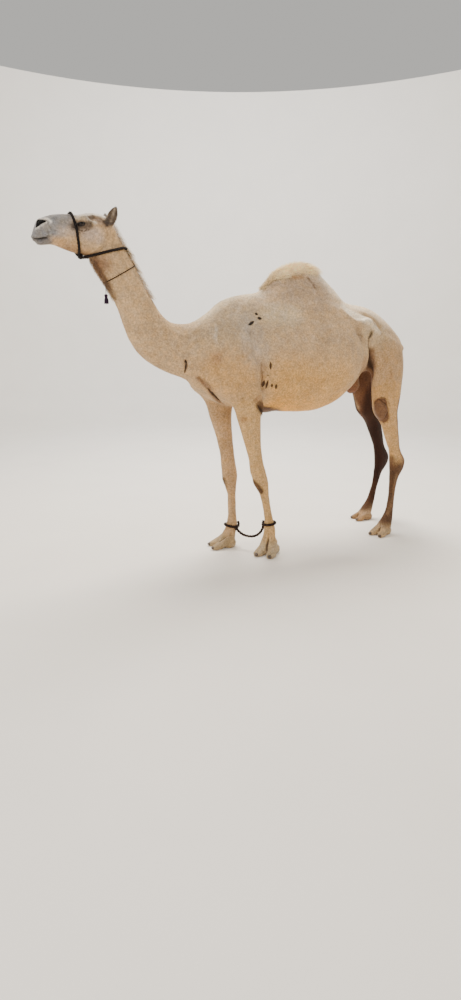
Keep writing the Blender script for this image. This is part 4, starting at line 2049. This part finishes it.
# ---------------------------------------------------------------- eyes and nails
@dataclass
class Eye:
    """An eyeball between its lids, with its lashes."""

    lids: Lids
    side: Side

    def place(self, rays: Rows) -> Rows:
        """Points given along the slit, up and out from the eye's middle, in the row frame.

        Args:
            rays: rows of (along the slit, up, out).

        Returns:
            Rows of x, y and z.
        """
        points = np.array(self.lids.centre) + rays @ np.array(self.lids.axes())
        points[:, 1] *= self.side.value
        return turned(points)

    def ball(self) -> Thing:
        """The eyeball: a ball with a slightly raised cornea.

        Returns:
            The eyeball.
        """
        bpy.ops.object.select_all(action="DESELECT")
        bpy.ops.mesh.primitive_uv_sphere_add(segments=72, ring_count=48, radius=1.0)
        thing = bpy.context.object
        thing.name = thing.data.name = f"eyeball_{self.side.name.lower()}"
        rays = points_of(thing.data)
        gaze = np.zeros((len(rays), 3))
        gaze[:, 0] = np.where(rays[:, 2] > 0, np.hypot(rays[:, 0] / 0.36, rays[:, 1] / 0.15), 9.0)
        gaze[:, 1] = np.where(rays[:, 2] > 0, np.hypot(rays[:, 0], rays[:, 1]) / 0.74, 9.0)
        bulge = 0.045 * (1.0 - ramp(np.hypot(rays[:, 0], rays[:, 1]), 0.3, 0.72)) * (rays[:, 2] > 0)
        radius = (self.lids.radius - 0.0004) * (0.965 + bulge)
        points = self.place(rays * radius[:, None])
        put_places(thing.data, "gaze", gaze)
        move_points(thing.data, points)
        faced_out(thing.data)
        return thing

    def lashes(self) -> Thing:
        """Long upper lashes and shorter lower ones.

        Returns:
            The lashes, as one piece.
        """
        lids = self.lids
        rng = np.random.default_rng(7)
        rows = []
        for count, way, reach, long in ((64, 1.0, lids.open_up, 0.022), (30, -1.0, lids.open_down, 0.009)):
            across = np.linspace(-0.92, 0.96, count) * lids.half_wide
            across += rng.normal(0.0, 0.01, count)
            power = 0.75 if way > 0 else 0.65
            up = way * (reach * np.clip(1.0 - (across / lids.half_wide) ** 2, 0.0, 1.0) ** power + 0.05)
            rays = np.stack((np.sin(across) * np.cos(up), np.sin(up), np.cos(across) * np.cos(up)), axis=1)
            tilt = rays + np.array((0.1, -0.45 if way > 0 else -0.5, 0.1))
            tilt[:, 0] += 0.4 * np.sin(across)
            rows.append((rays, unit(tilt), long * rng.uniform(0.8, 1.1, count)))
        rays, ways, longs = (np.concatenate(parts) for parts in zip(*rows))
        basis = np.array(lids.axes())
        flip = np.array((1.0, self.side.value, 1.0))
        roots = (np.array(lids.centre) + (rays * (lids.radius + lids.thick - 0.0002)) @ basis) * flip
        ways = (ways @ basis) * flip
        outs = unit(np.tile(np.array((0.0, 0.0, 1.0)), (len(roots), 1)) + 0.2 * ways)
        tones = np.tile(np.array(linear("#1a1512")), (len(roots), 1))
        wide = np.full(len(roots), 0.0008)
        hairs = Hairs(roots, ways, outs, longs, wide, tones, -0.1, 0.0, 4, 0.6, False)
        return hairs.piece(f"lashes_{self.side.name.lower()}")


NAILS = tuple(
    f"{leg}_nail_{toe}"
    for leg in ("fore_left", "fore_right", "hind_left", "hind_right")
    for toe in ("inner", "outer")
)


def make_nails(nodes: dict) -> Thing:
    """The eight nails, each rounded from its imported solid.

    Args:
        nodes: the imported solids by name.

    Returns:
        The nails, as one piece.
    """
    form = bmesh.new()
    for name in NAILS:
        form.from_mesh(nodes[name].data)
    bmesh.ops.remove_doubles(form, verts=form.verts, dist=SEAM)
    mesh = bpy.data.meshes.new("nails")
    form.to_mesh(mesh)
    form.free()
    thing = new_piece("nails", mesh)
    finish_with(thing, "REMESH", mode="VOXEL", voxel_size=0.0017)
    finish_with(thing, "SMOOTH", factor=0.5, iterations=12)
    thing.data.shade_smooth()
    return thing


# ---------------------------------------------------------------- ropes and cords
@dataclass(frozen=True)
class Lay:
    """How a rope is laid up: its radius, its strands and how long one turn of them is."""

    radius: float
    strands: int = 3
    turn: float = 3.4          # in diameters
    groove: float = 0.38       # how far the strands' middles lie from the rope's, as a share of the radius
    corners: int = 18

    def outline(self, angles: Rows) -> Rows:
        """The rope's radius at angles from a strand's middle.

        Args:
            angles: angles round the rope.

        Returns:
            The radius at each.
        """
        step = FULL_TURN / self.strands
        away = np.abs((angles + step / 2) % step - step / 2)
        offset = self.groove * self.radius
        strand = self.radius - offset
        return offset * np.cos(away) + np.sqrt(np.maximum(strand**2 - (offset * np.sin(away)) ** 2, 1e-12))


def rope_mesh(name: str, path: Rows, lay: Lay, closed: bool, taper: Rows | None = None) -> Thing:
    """A laid rope along a path.

    Args:
        name: the piece's name.
        path: rows of points in the row frame.
        lay: how the rope is laid up.
        closed: whether it runs back to its start.
        taper: the rope's thickness along the path, as a share.

    Returns:
        The rope, closed and facing outwards, with its lay as a UV map.
    """
    count = len(path)
    following = np.roll(path, -1, axis=0) - np.roll(path, 1, axis=0)
    if not closed:
        following[0] = path[1] - path[0]
        following[-1] = path[-1] - path[-2]
    ways = unit(following)
    side = np.zeros_like(path)
    first = np.cross(ways[0], (0.0, 0.0, 1.0))
    side[0] = unit(first if np.linalg.norm(first) > 0.1 else np.cross(ways[0], (0.0, 1.0, 0.0)))
    for index in range(1, count):
        side[index] = unit(side[index - 1] - (side[index - 1] @ ways[index]) * ways[index])
    steps = np.concatenate(([0.0], np.cumsum(np.linalg.norm(np.diff(path, axis=0), axis=1))))
    whole = steps[-1] + (np.linalg.norm(path[0] - path[-1]) if closed else 0.0)
    turns = whole / (lay.turn * 2 * lay.radius)
    twist = FULL_TURN * steps / (lay.turn * 2 * lay.radius)
    if closed:
        last = unit(side[-1] - (side[-1] @ ways[0]) * ways[0])
        slip = math.atan2(float(np.cross(side[0], last) @ ways[0]), float(side[0] @ last))
        turns = round(turns)
        twist = (FULL_TURN * turns + slip) * steps / whole
    other = np.cross(ways, side)
    around = FULL_TURN * np.arange(lay.corners) / lay.corners
    size = np.ones(count) if taper is None else taper
    points = np.zeros((count, lay.corners, 3))
    for corner, angle in enumerate(around):
        radius = lay.outline(angle - twist) * size
        points[:, corner] = path + radius[:, None] * (math.cos(angle) * side + math.sin(angle) * other)
    faces, places = [], []
    rows = count if closed else count - 1
    for row in range(rows):
        below, above = row * lay.corners, (row + 1) % count * lay.corners
        shift = 0
        if closed and row == count - 1:
            shift = round(-slip / (FULL_TURN / lay.corners)) % lay.corners
        for corner in range(lay.corners):
            ahead = (corner + 1) % lay.corners
            over, beyond = above + (ahead + shift) % lay.corners, above + (corner + shift) % lay.corners
            faces.append((below + corner, below + ahead, over, beyond))
            after = twist[row + 1] if row + 1 < count else twist[row] + twist[1] - twist[0]
            u0, u1 = twist[row] / FULL_TURN, after / FULL_TURN
            v0, v1 = corner / lay.corners, (corner + 1) / lay.corners
            places.append(((u0, v0), (u0, v1), (u1, v1), (u1, v0)))
    if not closed:
        faces.append(tuple(reversed(range(lay.corners))))
        faces.append(tuple((count - 1) * lay.corners + corner for corner in range(lay.corners)))
        places += [((0.0, 0.0),) * lay.corners] * 2
    mesh = mesh_from(name, points.reshape(-1, 3), faces)
    layer = mesh.uv_layers.new(name="lay")
    flat = [value for face in places for place in face for value in place]
    layer.data.foreach_set("uv", flat)
    return new_piece(name, faced_out(mesh))


@dataclass(frozen=True)
class Loop:
    """A rope round a part of the body, through two points of its midline."""

    front: Point
    back: Point
    half_width: float
    count: int
    rounds: int
    flat: bool
    held: bool

    def taut(self, tree: BVHTree, clearance: float) -> list[Vector]:
        """The rope's middle line, pulled tight on the hide.

        Args:
            tree: the hide.
            clearance: how far the middle line stays off it.

        Returns:
            The line's points.
        """
        front, back = at(self.front), at(self.back)
        middle = (front + back) / 2
        long = (front - back) / 2
        wide = Vector((0.0, self.half_width, 0.0))
        flat_way = long.cross(wide).normalized()
        points = []
        for index in range(self.count):
            angle = FULL_TURN * index / self.count
            points.append(middle + 1.15 * (long * math.cos(angle) + wide * math.sin(angle)))
        opposite = self.count // 2
        for _ in range(self.rounds):
            pulled = []
            for index, point in enumerate(points):
                between = (points[index - 1] + points[(index + 1) % self.count]) / 2
                moved = off_hide(tree, point.lerp(between, 0.5), clearance)
                if self.flat:
                    moved = moved - flat_way * (moved - middle).dot(flat_way)
                pulled.append(moved)
            if self.held:
                pulled[0] = off_hide(tree, front, clearance)
                pulled[opposite] = off_hide(tree, back, clearance)
            points = pulled
        return points


def off_hide(tree: BVHTree, point: Vector, clearance: float) -> Vector:
    """The point, moved out where it is nearer to the hide than the clearance.

    Args:
        tree: the hide.
        point: the point.
        clearance: how far off it stays.

    Returns:
        Its place.
    """
    place, normal, _, _ = tree.find_nearest(point)
    if (point - place).dot(normal) < clearance:
        return place + normal * clearance
    return point


NOSEBAND = Loop((1.15, 0.0, 2.03), (1.188, 0.0, 2.27), 0.08, 28, 70, True, False)
THROAT_ROPE = Loop((1.128, 0.0, 2.028), (0.852, 0.0, 2.094), 0.1, 32, 60, False, True)
NECK_CORD = Loop((1.0066, 0.0, 1.8926), (0.8314, 0.0, 1.9903), 0.1, 32, 60, True, False)
HOBBLE_LEFT = Loop((-0.068, 0.152, 0.236), (-0.17, 0.152, 0.246), 0.046, 20, 50, True, False)
HOBBLE_RIGHT = Loop((0.086, -0.15, 0.176), (-0.012, -0.15, 0.156), 0.055, 20, 50, True, False)
HOBBLE_ROUTE = (
    (0.03, -0.095, 0.166),
    (0.016, -0.078, 0.136),
    (-0.004, -0.048, 0.115),
    (-0.023, -0.02, 0.107),
    (-0.043, 0.01, 0.107),
    (-0.061, 0.038, 0.116),
    (-0.076, 0.062, 0.133),
    (-0.088, 0.082, 0.158),
    (-0.097, 0.096, 0.19),
    (-0.106, 0.101, 0.238),
)
HOBBLE_END = ((-0.024, -0.146, 0.158), (-0.025, -0.148, 0.174), (-0.022, -0.15, 0.19))
TASSEL_LONG = 0.059
TASSEL_HEAD = (   # how far down, and the radius there
    (0.0, 0.002),
    (0.003, 0.0082),
    (0.009, 0.0112),
    (0.014, 0.0096),
    (0.017, 0.008),
)
WRAP_STEPS = 16      # points of a knot's rope in one turn
YARNS = 64           # in the tassel's skirt
BINDING_TURNS = 3    # of the thread round its head


@dataclass
class Tack:
    """What the camel wears: halter, neck cord with its tassel, and hobble."""

    tree: BVHTree
    nodes: dict
    halter: Lay = Lay(0.0084)
    hobble: Lay = Lay(0.0106)
    cord: Lay = Lay(0.0033, 2, 4.0, 0.36, 12)
    string: Lay = Lay(0.0018, 2, 4.0, 0.36, 10)

    def loop(self, name: str, loop: Loop, lay: Lay, sink: float, material: Material) -> Rows:
        """One closed loop of rope; returns its middle line.

        Args:
            name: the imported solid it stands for.
            loop: where it runs.
            lay: how the rope is laid up.
            sink: how deep it lies in the coat.
            material: what it is made of.

        Returns:
            The middle line, as rows of points.
        """
        corners = np.array(loop.taut(self.tree, lay.radius - sink))
        path = smooth_line(corners, len(corners) * 10, True)
        thing = rope_mesh(f"{name}_rope", path, lay, True)
        dress_piece(thing, material, ROPE_SLOTS[name], name)
        return path

    def knot(self, name: str, middle: Vector, way: Vector, lay: Lay, wraps: int) -> Thing:
        """A rope wound round a junction, with its end tucked through.

        Args:
            name: the piece's name.
            middle: its middle.
            way: the way of the rope through it.
            lay: how its rope is laid up.
            wraps: how many turns it has.

        Returns:
            The knot.
        """
        way = way.normalized()
        side = way.cross(Vector((0.3, 0.2, 1.0))).normalized()
        other = way.cross(side)
        steps = wraps * WRAP_STEPS
        coil = lay.radius * 1.45
        points = []
        for step in range(steps + 1):
            angle = FULL_TURN * step / WRAP_STEPS
            along = (step / steps - 0.5) * wraps * lay.radius * 1.9
            points.append(middle + way * along + (side * math.cos(angle) + other * math.sin(angle)) * coil)
        return rope_mesh(name, smooth_line(np.array(points), steps * 3, False), lay, False)

    def tassel(self, top: Vector) -> Thing:
        """A bound head over a skirt of yarns.

        Args:
            top: where it hangs from.

        Returns:
            The tassel, as one piece.
        """
        rng = np.random.default_rng(5)
        drops, radii = np.array(TASSEL_HEAD).T
        bands = smooth_line(np.array([top + Vector((0.0, 0.0, -drop)) for drop in drops]), 24, False)
        taper = np.interp(np.linspace(0, 1, 24), drops / drops[-1], radii / radii.max())
        head = rope_mesh("tassel_head", bands, Lay(radii.max(), 9, 30.0, 0.3, 36), False, taper)
        round_it = BINDING_TURNS * FULL_TURN
        binding = [
            top + Vector((0.0088 * math.cos(a), 0.0088 * math.sin(a), -0.015 - 0.003 * a / round_it))
            for a in np.linspace(0.0, round_it, 60)
        ]
        wound = rope_mesh("tassel_binding", np.array(binding), Lay(0.0009, 2, 4.0, 0.4, 8), False)
        parts = [head, wound]
        for index in range(YARNS):
            angle = index * GOLDEN_ANGLE
            ring = math.sqrt((index + 0.5) / YARNS)
            start = top + Vector((0.0066 * ring * math.cos(angle), 0.0058 * ring * math.sin(angle), -0.015))
            spread = 0.014 * ring
            low = -TASSEL_LONG + 0.001 + float(rng.uniform(0.0, 0.004))
            bend = 0.0012 * float(rng.normal())
            inner, along = spread * 0.92, angle + 0.1
            middle = top + Vector((inner * math.cos(along), inner * math.sin(along) + bend, -0.036))
            end = top + Vector((spread * math.cos(angle), spread * math.sin(angle), low))
            path = smooth_line(np.array((start, middle, end)), 8, False)
            parts.append(rope_mesh(f"yarn_{index}", path, Lay(0.00105, 2, 5.0, 0.35, 6), False))
        only(head)
        for part in parts:
            part.select_set(True)
        bpy.ops.object.join()
        head.name = head.data.name = "tassel_yarns"
        return head

    def build(self) -> None:
        """Make every rope, cord and knot, and say what each is."""
        black = Twine("black braided halter rope", "#130c09", 1.7).build()
        brown = Twine("dark brown laid fibre rope", "#1c0f0a", 1.8).build()
        dark = Twine("dark brown waxed cord", "#170e09", 1.6).build()
        pale = Twine("undyed cotton string", "#5d4c45", 1.4).build()
        purple = Twine("dark purple wool yarn", "#2b1a2c", 1.9).build()
        noseband = self.loop("noseband", NOSEBAND, self.halter, 0.001, black)
        throat = self.loop("throat_rope", THROAT_ROPE, self.halter, 0.001, black)
        self.loop("neck_cord", NECK_CORD, self.cord, 0.0004, dark)
        gaps = np.linalg.norm(noseband[:, None] - throat[None], axis=2)
        near = np.unravel_index(int(np.argmin(gaps)), gaps.shape)
        middle = Vector((noseband[near[0]] + throat[near[1]]) / 2)
        low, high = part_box("halter_knot")
        middle = middle.lerp((low + high) / 2, 0.5)
        way = Vector(throat[(near[1] + 4) % len(throat)] - throat[near[1] - 4])
        knot = self.knot("halter_knot_wraps", middle, way, Lay(0.0062), 3)
        dress_piece(knot, black, "halter_rope", "halter_knot")
        self.loop("hobble_left", HOBBLE_LEFT, self.hobble, 0.0008, brown)
        self.loop("hobble_right", HOBBLE_RIGHT, self.hobble, 0.0008, brown)
        self.between(brown)
        self.pendant(pale, purple)

    def between(self, material: Material) -> None:
        """The rope that hangs between the fore legs, and its loose end.

        Args:
            material: what it is made of.
        """
        path = smooth_line(np.array([at(row) for row in HOBBLE_ROUTE]), 90, False)
        rope = rope_mesh("hobble_span", path, self.hobble, False)
        dress_piece(rope, material, "hobble_rope", "hobble_rope")
        corners = np.array([at(row) for row in ((0.0, -0.122, 0.158), (-0.014, -0.134, 0.153), *HOBBLE_END)])
        stub = rope_mesh("hobble_loose_end", smooth_line(corners, 36, False), self.hobble, False)
        dress_piece(stub, material, "hobble_rope", "hobble_end")
        for side, end, far in (("right", path[2], path[8]), ("left", path[-3], path[-9])):
            knot = self.knot(f"hobble_knot_{side}", Vector(end), Vector(end - far), Lay(0.0074), 2)
            dress_piece(knot, material, "hobble_rope")

    def pendant(self, pale: Material, purple: Material) -> None:
        """The string that hangs from the neck cord, and its tassel.

        Args:
            pale: the string's material.
            purple: the tassel's.
        """
        low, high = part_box("pendant_string")
        top = Vector(((low.x + high.x) / 2, (low.y + high.y) / 2, high.z))
        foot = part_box("tassel")[1].z
        path = np.array([top.lerp(Vector((top.x, top.y, foot)), step / 24) for step in range(25)])
        string = rope_mesh("pendant_cotton", path, self.string, False)
        dress_piece(string, pale, "neck_cord", "pendant_string")
        tassel = self.tassel(Vector((top.x, top.y, foot)))
        dress_piece(tassel, purple, "tassel_yarn", "tassel")


ROPE_SLOTS = {
    "noseband": "halter_rope",
    "throat_rope": "halter_rope",
    "neck_cord": "neck_cord",
    "hobble_left": "hobble_rope",
    "hobble_right": "hobble_rope",
}


def dress_piece(thing: Thing, material: Material, slot: str, *nodes: str) -> None:
    """Give a piece its material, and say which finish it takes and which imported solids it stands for.

    Args:
        thing: the piece.
        material: what it is made of.
        slot: the finish's slot.
        nodes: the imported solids.
    """
    thing.data.materials.append(material)
    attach(thing, BODY)
    if nodes:
        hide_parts(*nodes)
    LOG.info("%s: %d faces", thing.name, len(thing.data.polygons))


# ---------------------------------------------------------------- the studio
@dataclass
class Studio:
    """A round pale floor that turns up into a wall, soft lights and the camera."""

    eye: Point = (-2.1873, -3.5736, 1.5)
    way: Point = (0.4812, 0.8766, 0.0)
    dip: float = math.atan(150 / 565)
    lens: float = 20.34
    lights: tuple = (   # place, what it is aimed at, size, power, colour
        ((0.9, 1.5, 5.4), (-0.1, 0.0, 1.4), 2.6, 430.0, "#fff6ea"),
        ((-3.6, -4.2, 4.2), (-0.2, 0.0, 1.1), 3.4, 165.0, "#fbfaff"),
        ((-4.8, 1.4, 3.0), (-0.9, 0.0, 1.6), 2.4, 75.0, "#fffaf2"),
        ((4.8, -2.8, 2.4), (0.5, 0.0, 1.2), 2.6, 55.0, "#fffaf2"),
        ((1.6, 3.2, 6.8), (5.0, 8.6, 2.2), 3.0, 620.0, "#f6f9ff"),
    )

    def camera(self) -> None:
        """Set the camera."""
        data = bpy.data.cameras.new("camera")
        data.lens = self.lens
        data.sensor_width = 36.0
        thing = new_piece("camera", data)
        flat = math.cos(self.dip)
        look = Vector((self.way[0] * flat, self.way[1] * flat, -math.sin(self.dip)))
        thing.location = self.eye
        thing.rotation_euler = look.to_track_quat("-Z", "Y").to_euler()
        bpy.context.scene.camera = thing

    def stage(self) -> None:
        """Make the floor and its turned-up rim."""
        bpy.ops.object.select_all(action="DESELECT")
        bpy.ops.mesh.primitive_circle_add(vertices=128, radius=8.0, fill_type="NGON")
        floor = bpy.context.object
        floor.name = "floor"
        bpy.ops.object.mode_set(mode="EDIT")
        form = bmesh.from_edit_mesh(floor.data)
        rim = [edge for edge in form.edges if edge.is_boundary]
        for grow, rise in ((1.12, 0.12), (1.08, 0.45), (1.05, 1.0), (1.02, 2.0), (1.0, 3.5)):
            made = bmesh.ops.extrude_edge_only(form, edges=rim)["geom"]
            rim = [part for part in made if isinstance(part, bmesh.types.BMEdge)]
            corners = [part for part in made if isinstance(part, bmesh.types.BMVert)]
            bmesh.ops.scale(form, vec=(grow, grow, 1.0), verts=corners)
            bmesh.ops.translate(form, vec=(0.0, 0.0, rise), verts=corners)
        bmesh.ops.recalc_face_normals(form, faces=form.faces)
        bmesh.update_edit_mesh(floor.data)
        bpy.ops.object.mode_set(mode="OBJECT")
        floor.data.shade_smooth()
        floor.data.materials.append(PaleFloor().build())

    def lamps(self) -> None:
        """Hang the soft lights and set the pale surround."""
        for index, (place, aim, size, power, colour) in enumerate(self.lights):
            data = bpy.data.lights.new(f"softbox_{index}", "AREA")
            data.shape = "DISK"
            data.size = size
            data.energy = power
            data.color = linear(colour)
            thing = new_piece(data.name, data)
            thing.location = place
            thing.rotation_euler = (Vector(aim) - Vector(place)).to_track_quat("-Z", "Y").to_euler()
        world = bpy.data.worlds.new("surround")
        bpy.context.scene.world = world
        world.use_nodes = True
        world.node_tree.nodes["Background"].inputs[0].default_value = (*linear("#f3f1ec"), 1.0)
        world.node_tree.nodes["Background"].inputs[1].default_value = 0.6


def main() -> None:
    """Build the camel."""
    logging.basicConfig(level=logging.INFO, format="%(message)s")
    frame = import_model()
    bpy.ops.object.select_all(action="DESELECT")
    studio = Studio()
    studio.camera()
    hide = Hide()
    skin = hide.build(frame)
    tree = BVHTree.FromObject(skin, bpy.context.evaluated_depsgraph_get())
    Tack(tree, frame["nodes"]).build()
    body = turned(points_of(skin.data))
    rest = places_of(skin.data, REST)
    colours = painted(rest)
    eye_skin(body, hide.lids, colours)
    put_colours(skin.data, "coat_colour", colours)
    ways = ways_out(skin.data)
    put_values(skin.data, "hangs", ramp(np.abs(hair_way(body, ways)[:, 2]), 0.45, 0.85))
    put_values(skin.data, "bare", bareness(rest))
    dress_piece(skin, ShortCoat().build(), "hide", *(name for name in Hide.FLESH if name != "tail_tuft"))
    hair = LooseHair().build()
    coat = Coat(skin, hide.lids)
    fields = Coat.FIELDS
    for tufts in fields:
        dress_piece(coat.grow(tufts), hair, tufts.slot, *filter(None, (tufts.stands_for,)))
    skin.data.attributes.remove(skin.data.attributes[REST])
    wet = WetEye().build()
    for side, node in ((Side.LEFT, "eye_left"), (Side.RIGHT, "eye_right")):
        eye = Eye(hide.lids, side)
        dress_piece(eye.ball(), wet, "eye", node)
        dress_piece(eye.lashes(), hair, "hide")
    dress_piece(make_nails(frame["nodes"]), Horn().build(), "nail", *NAILS)
    studio.stage()
    studio.lamps()


if __name__ == "__main__":
    main()
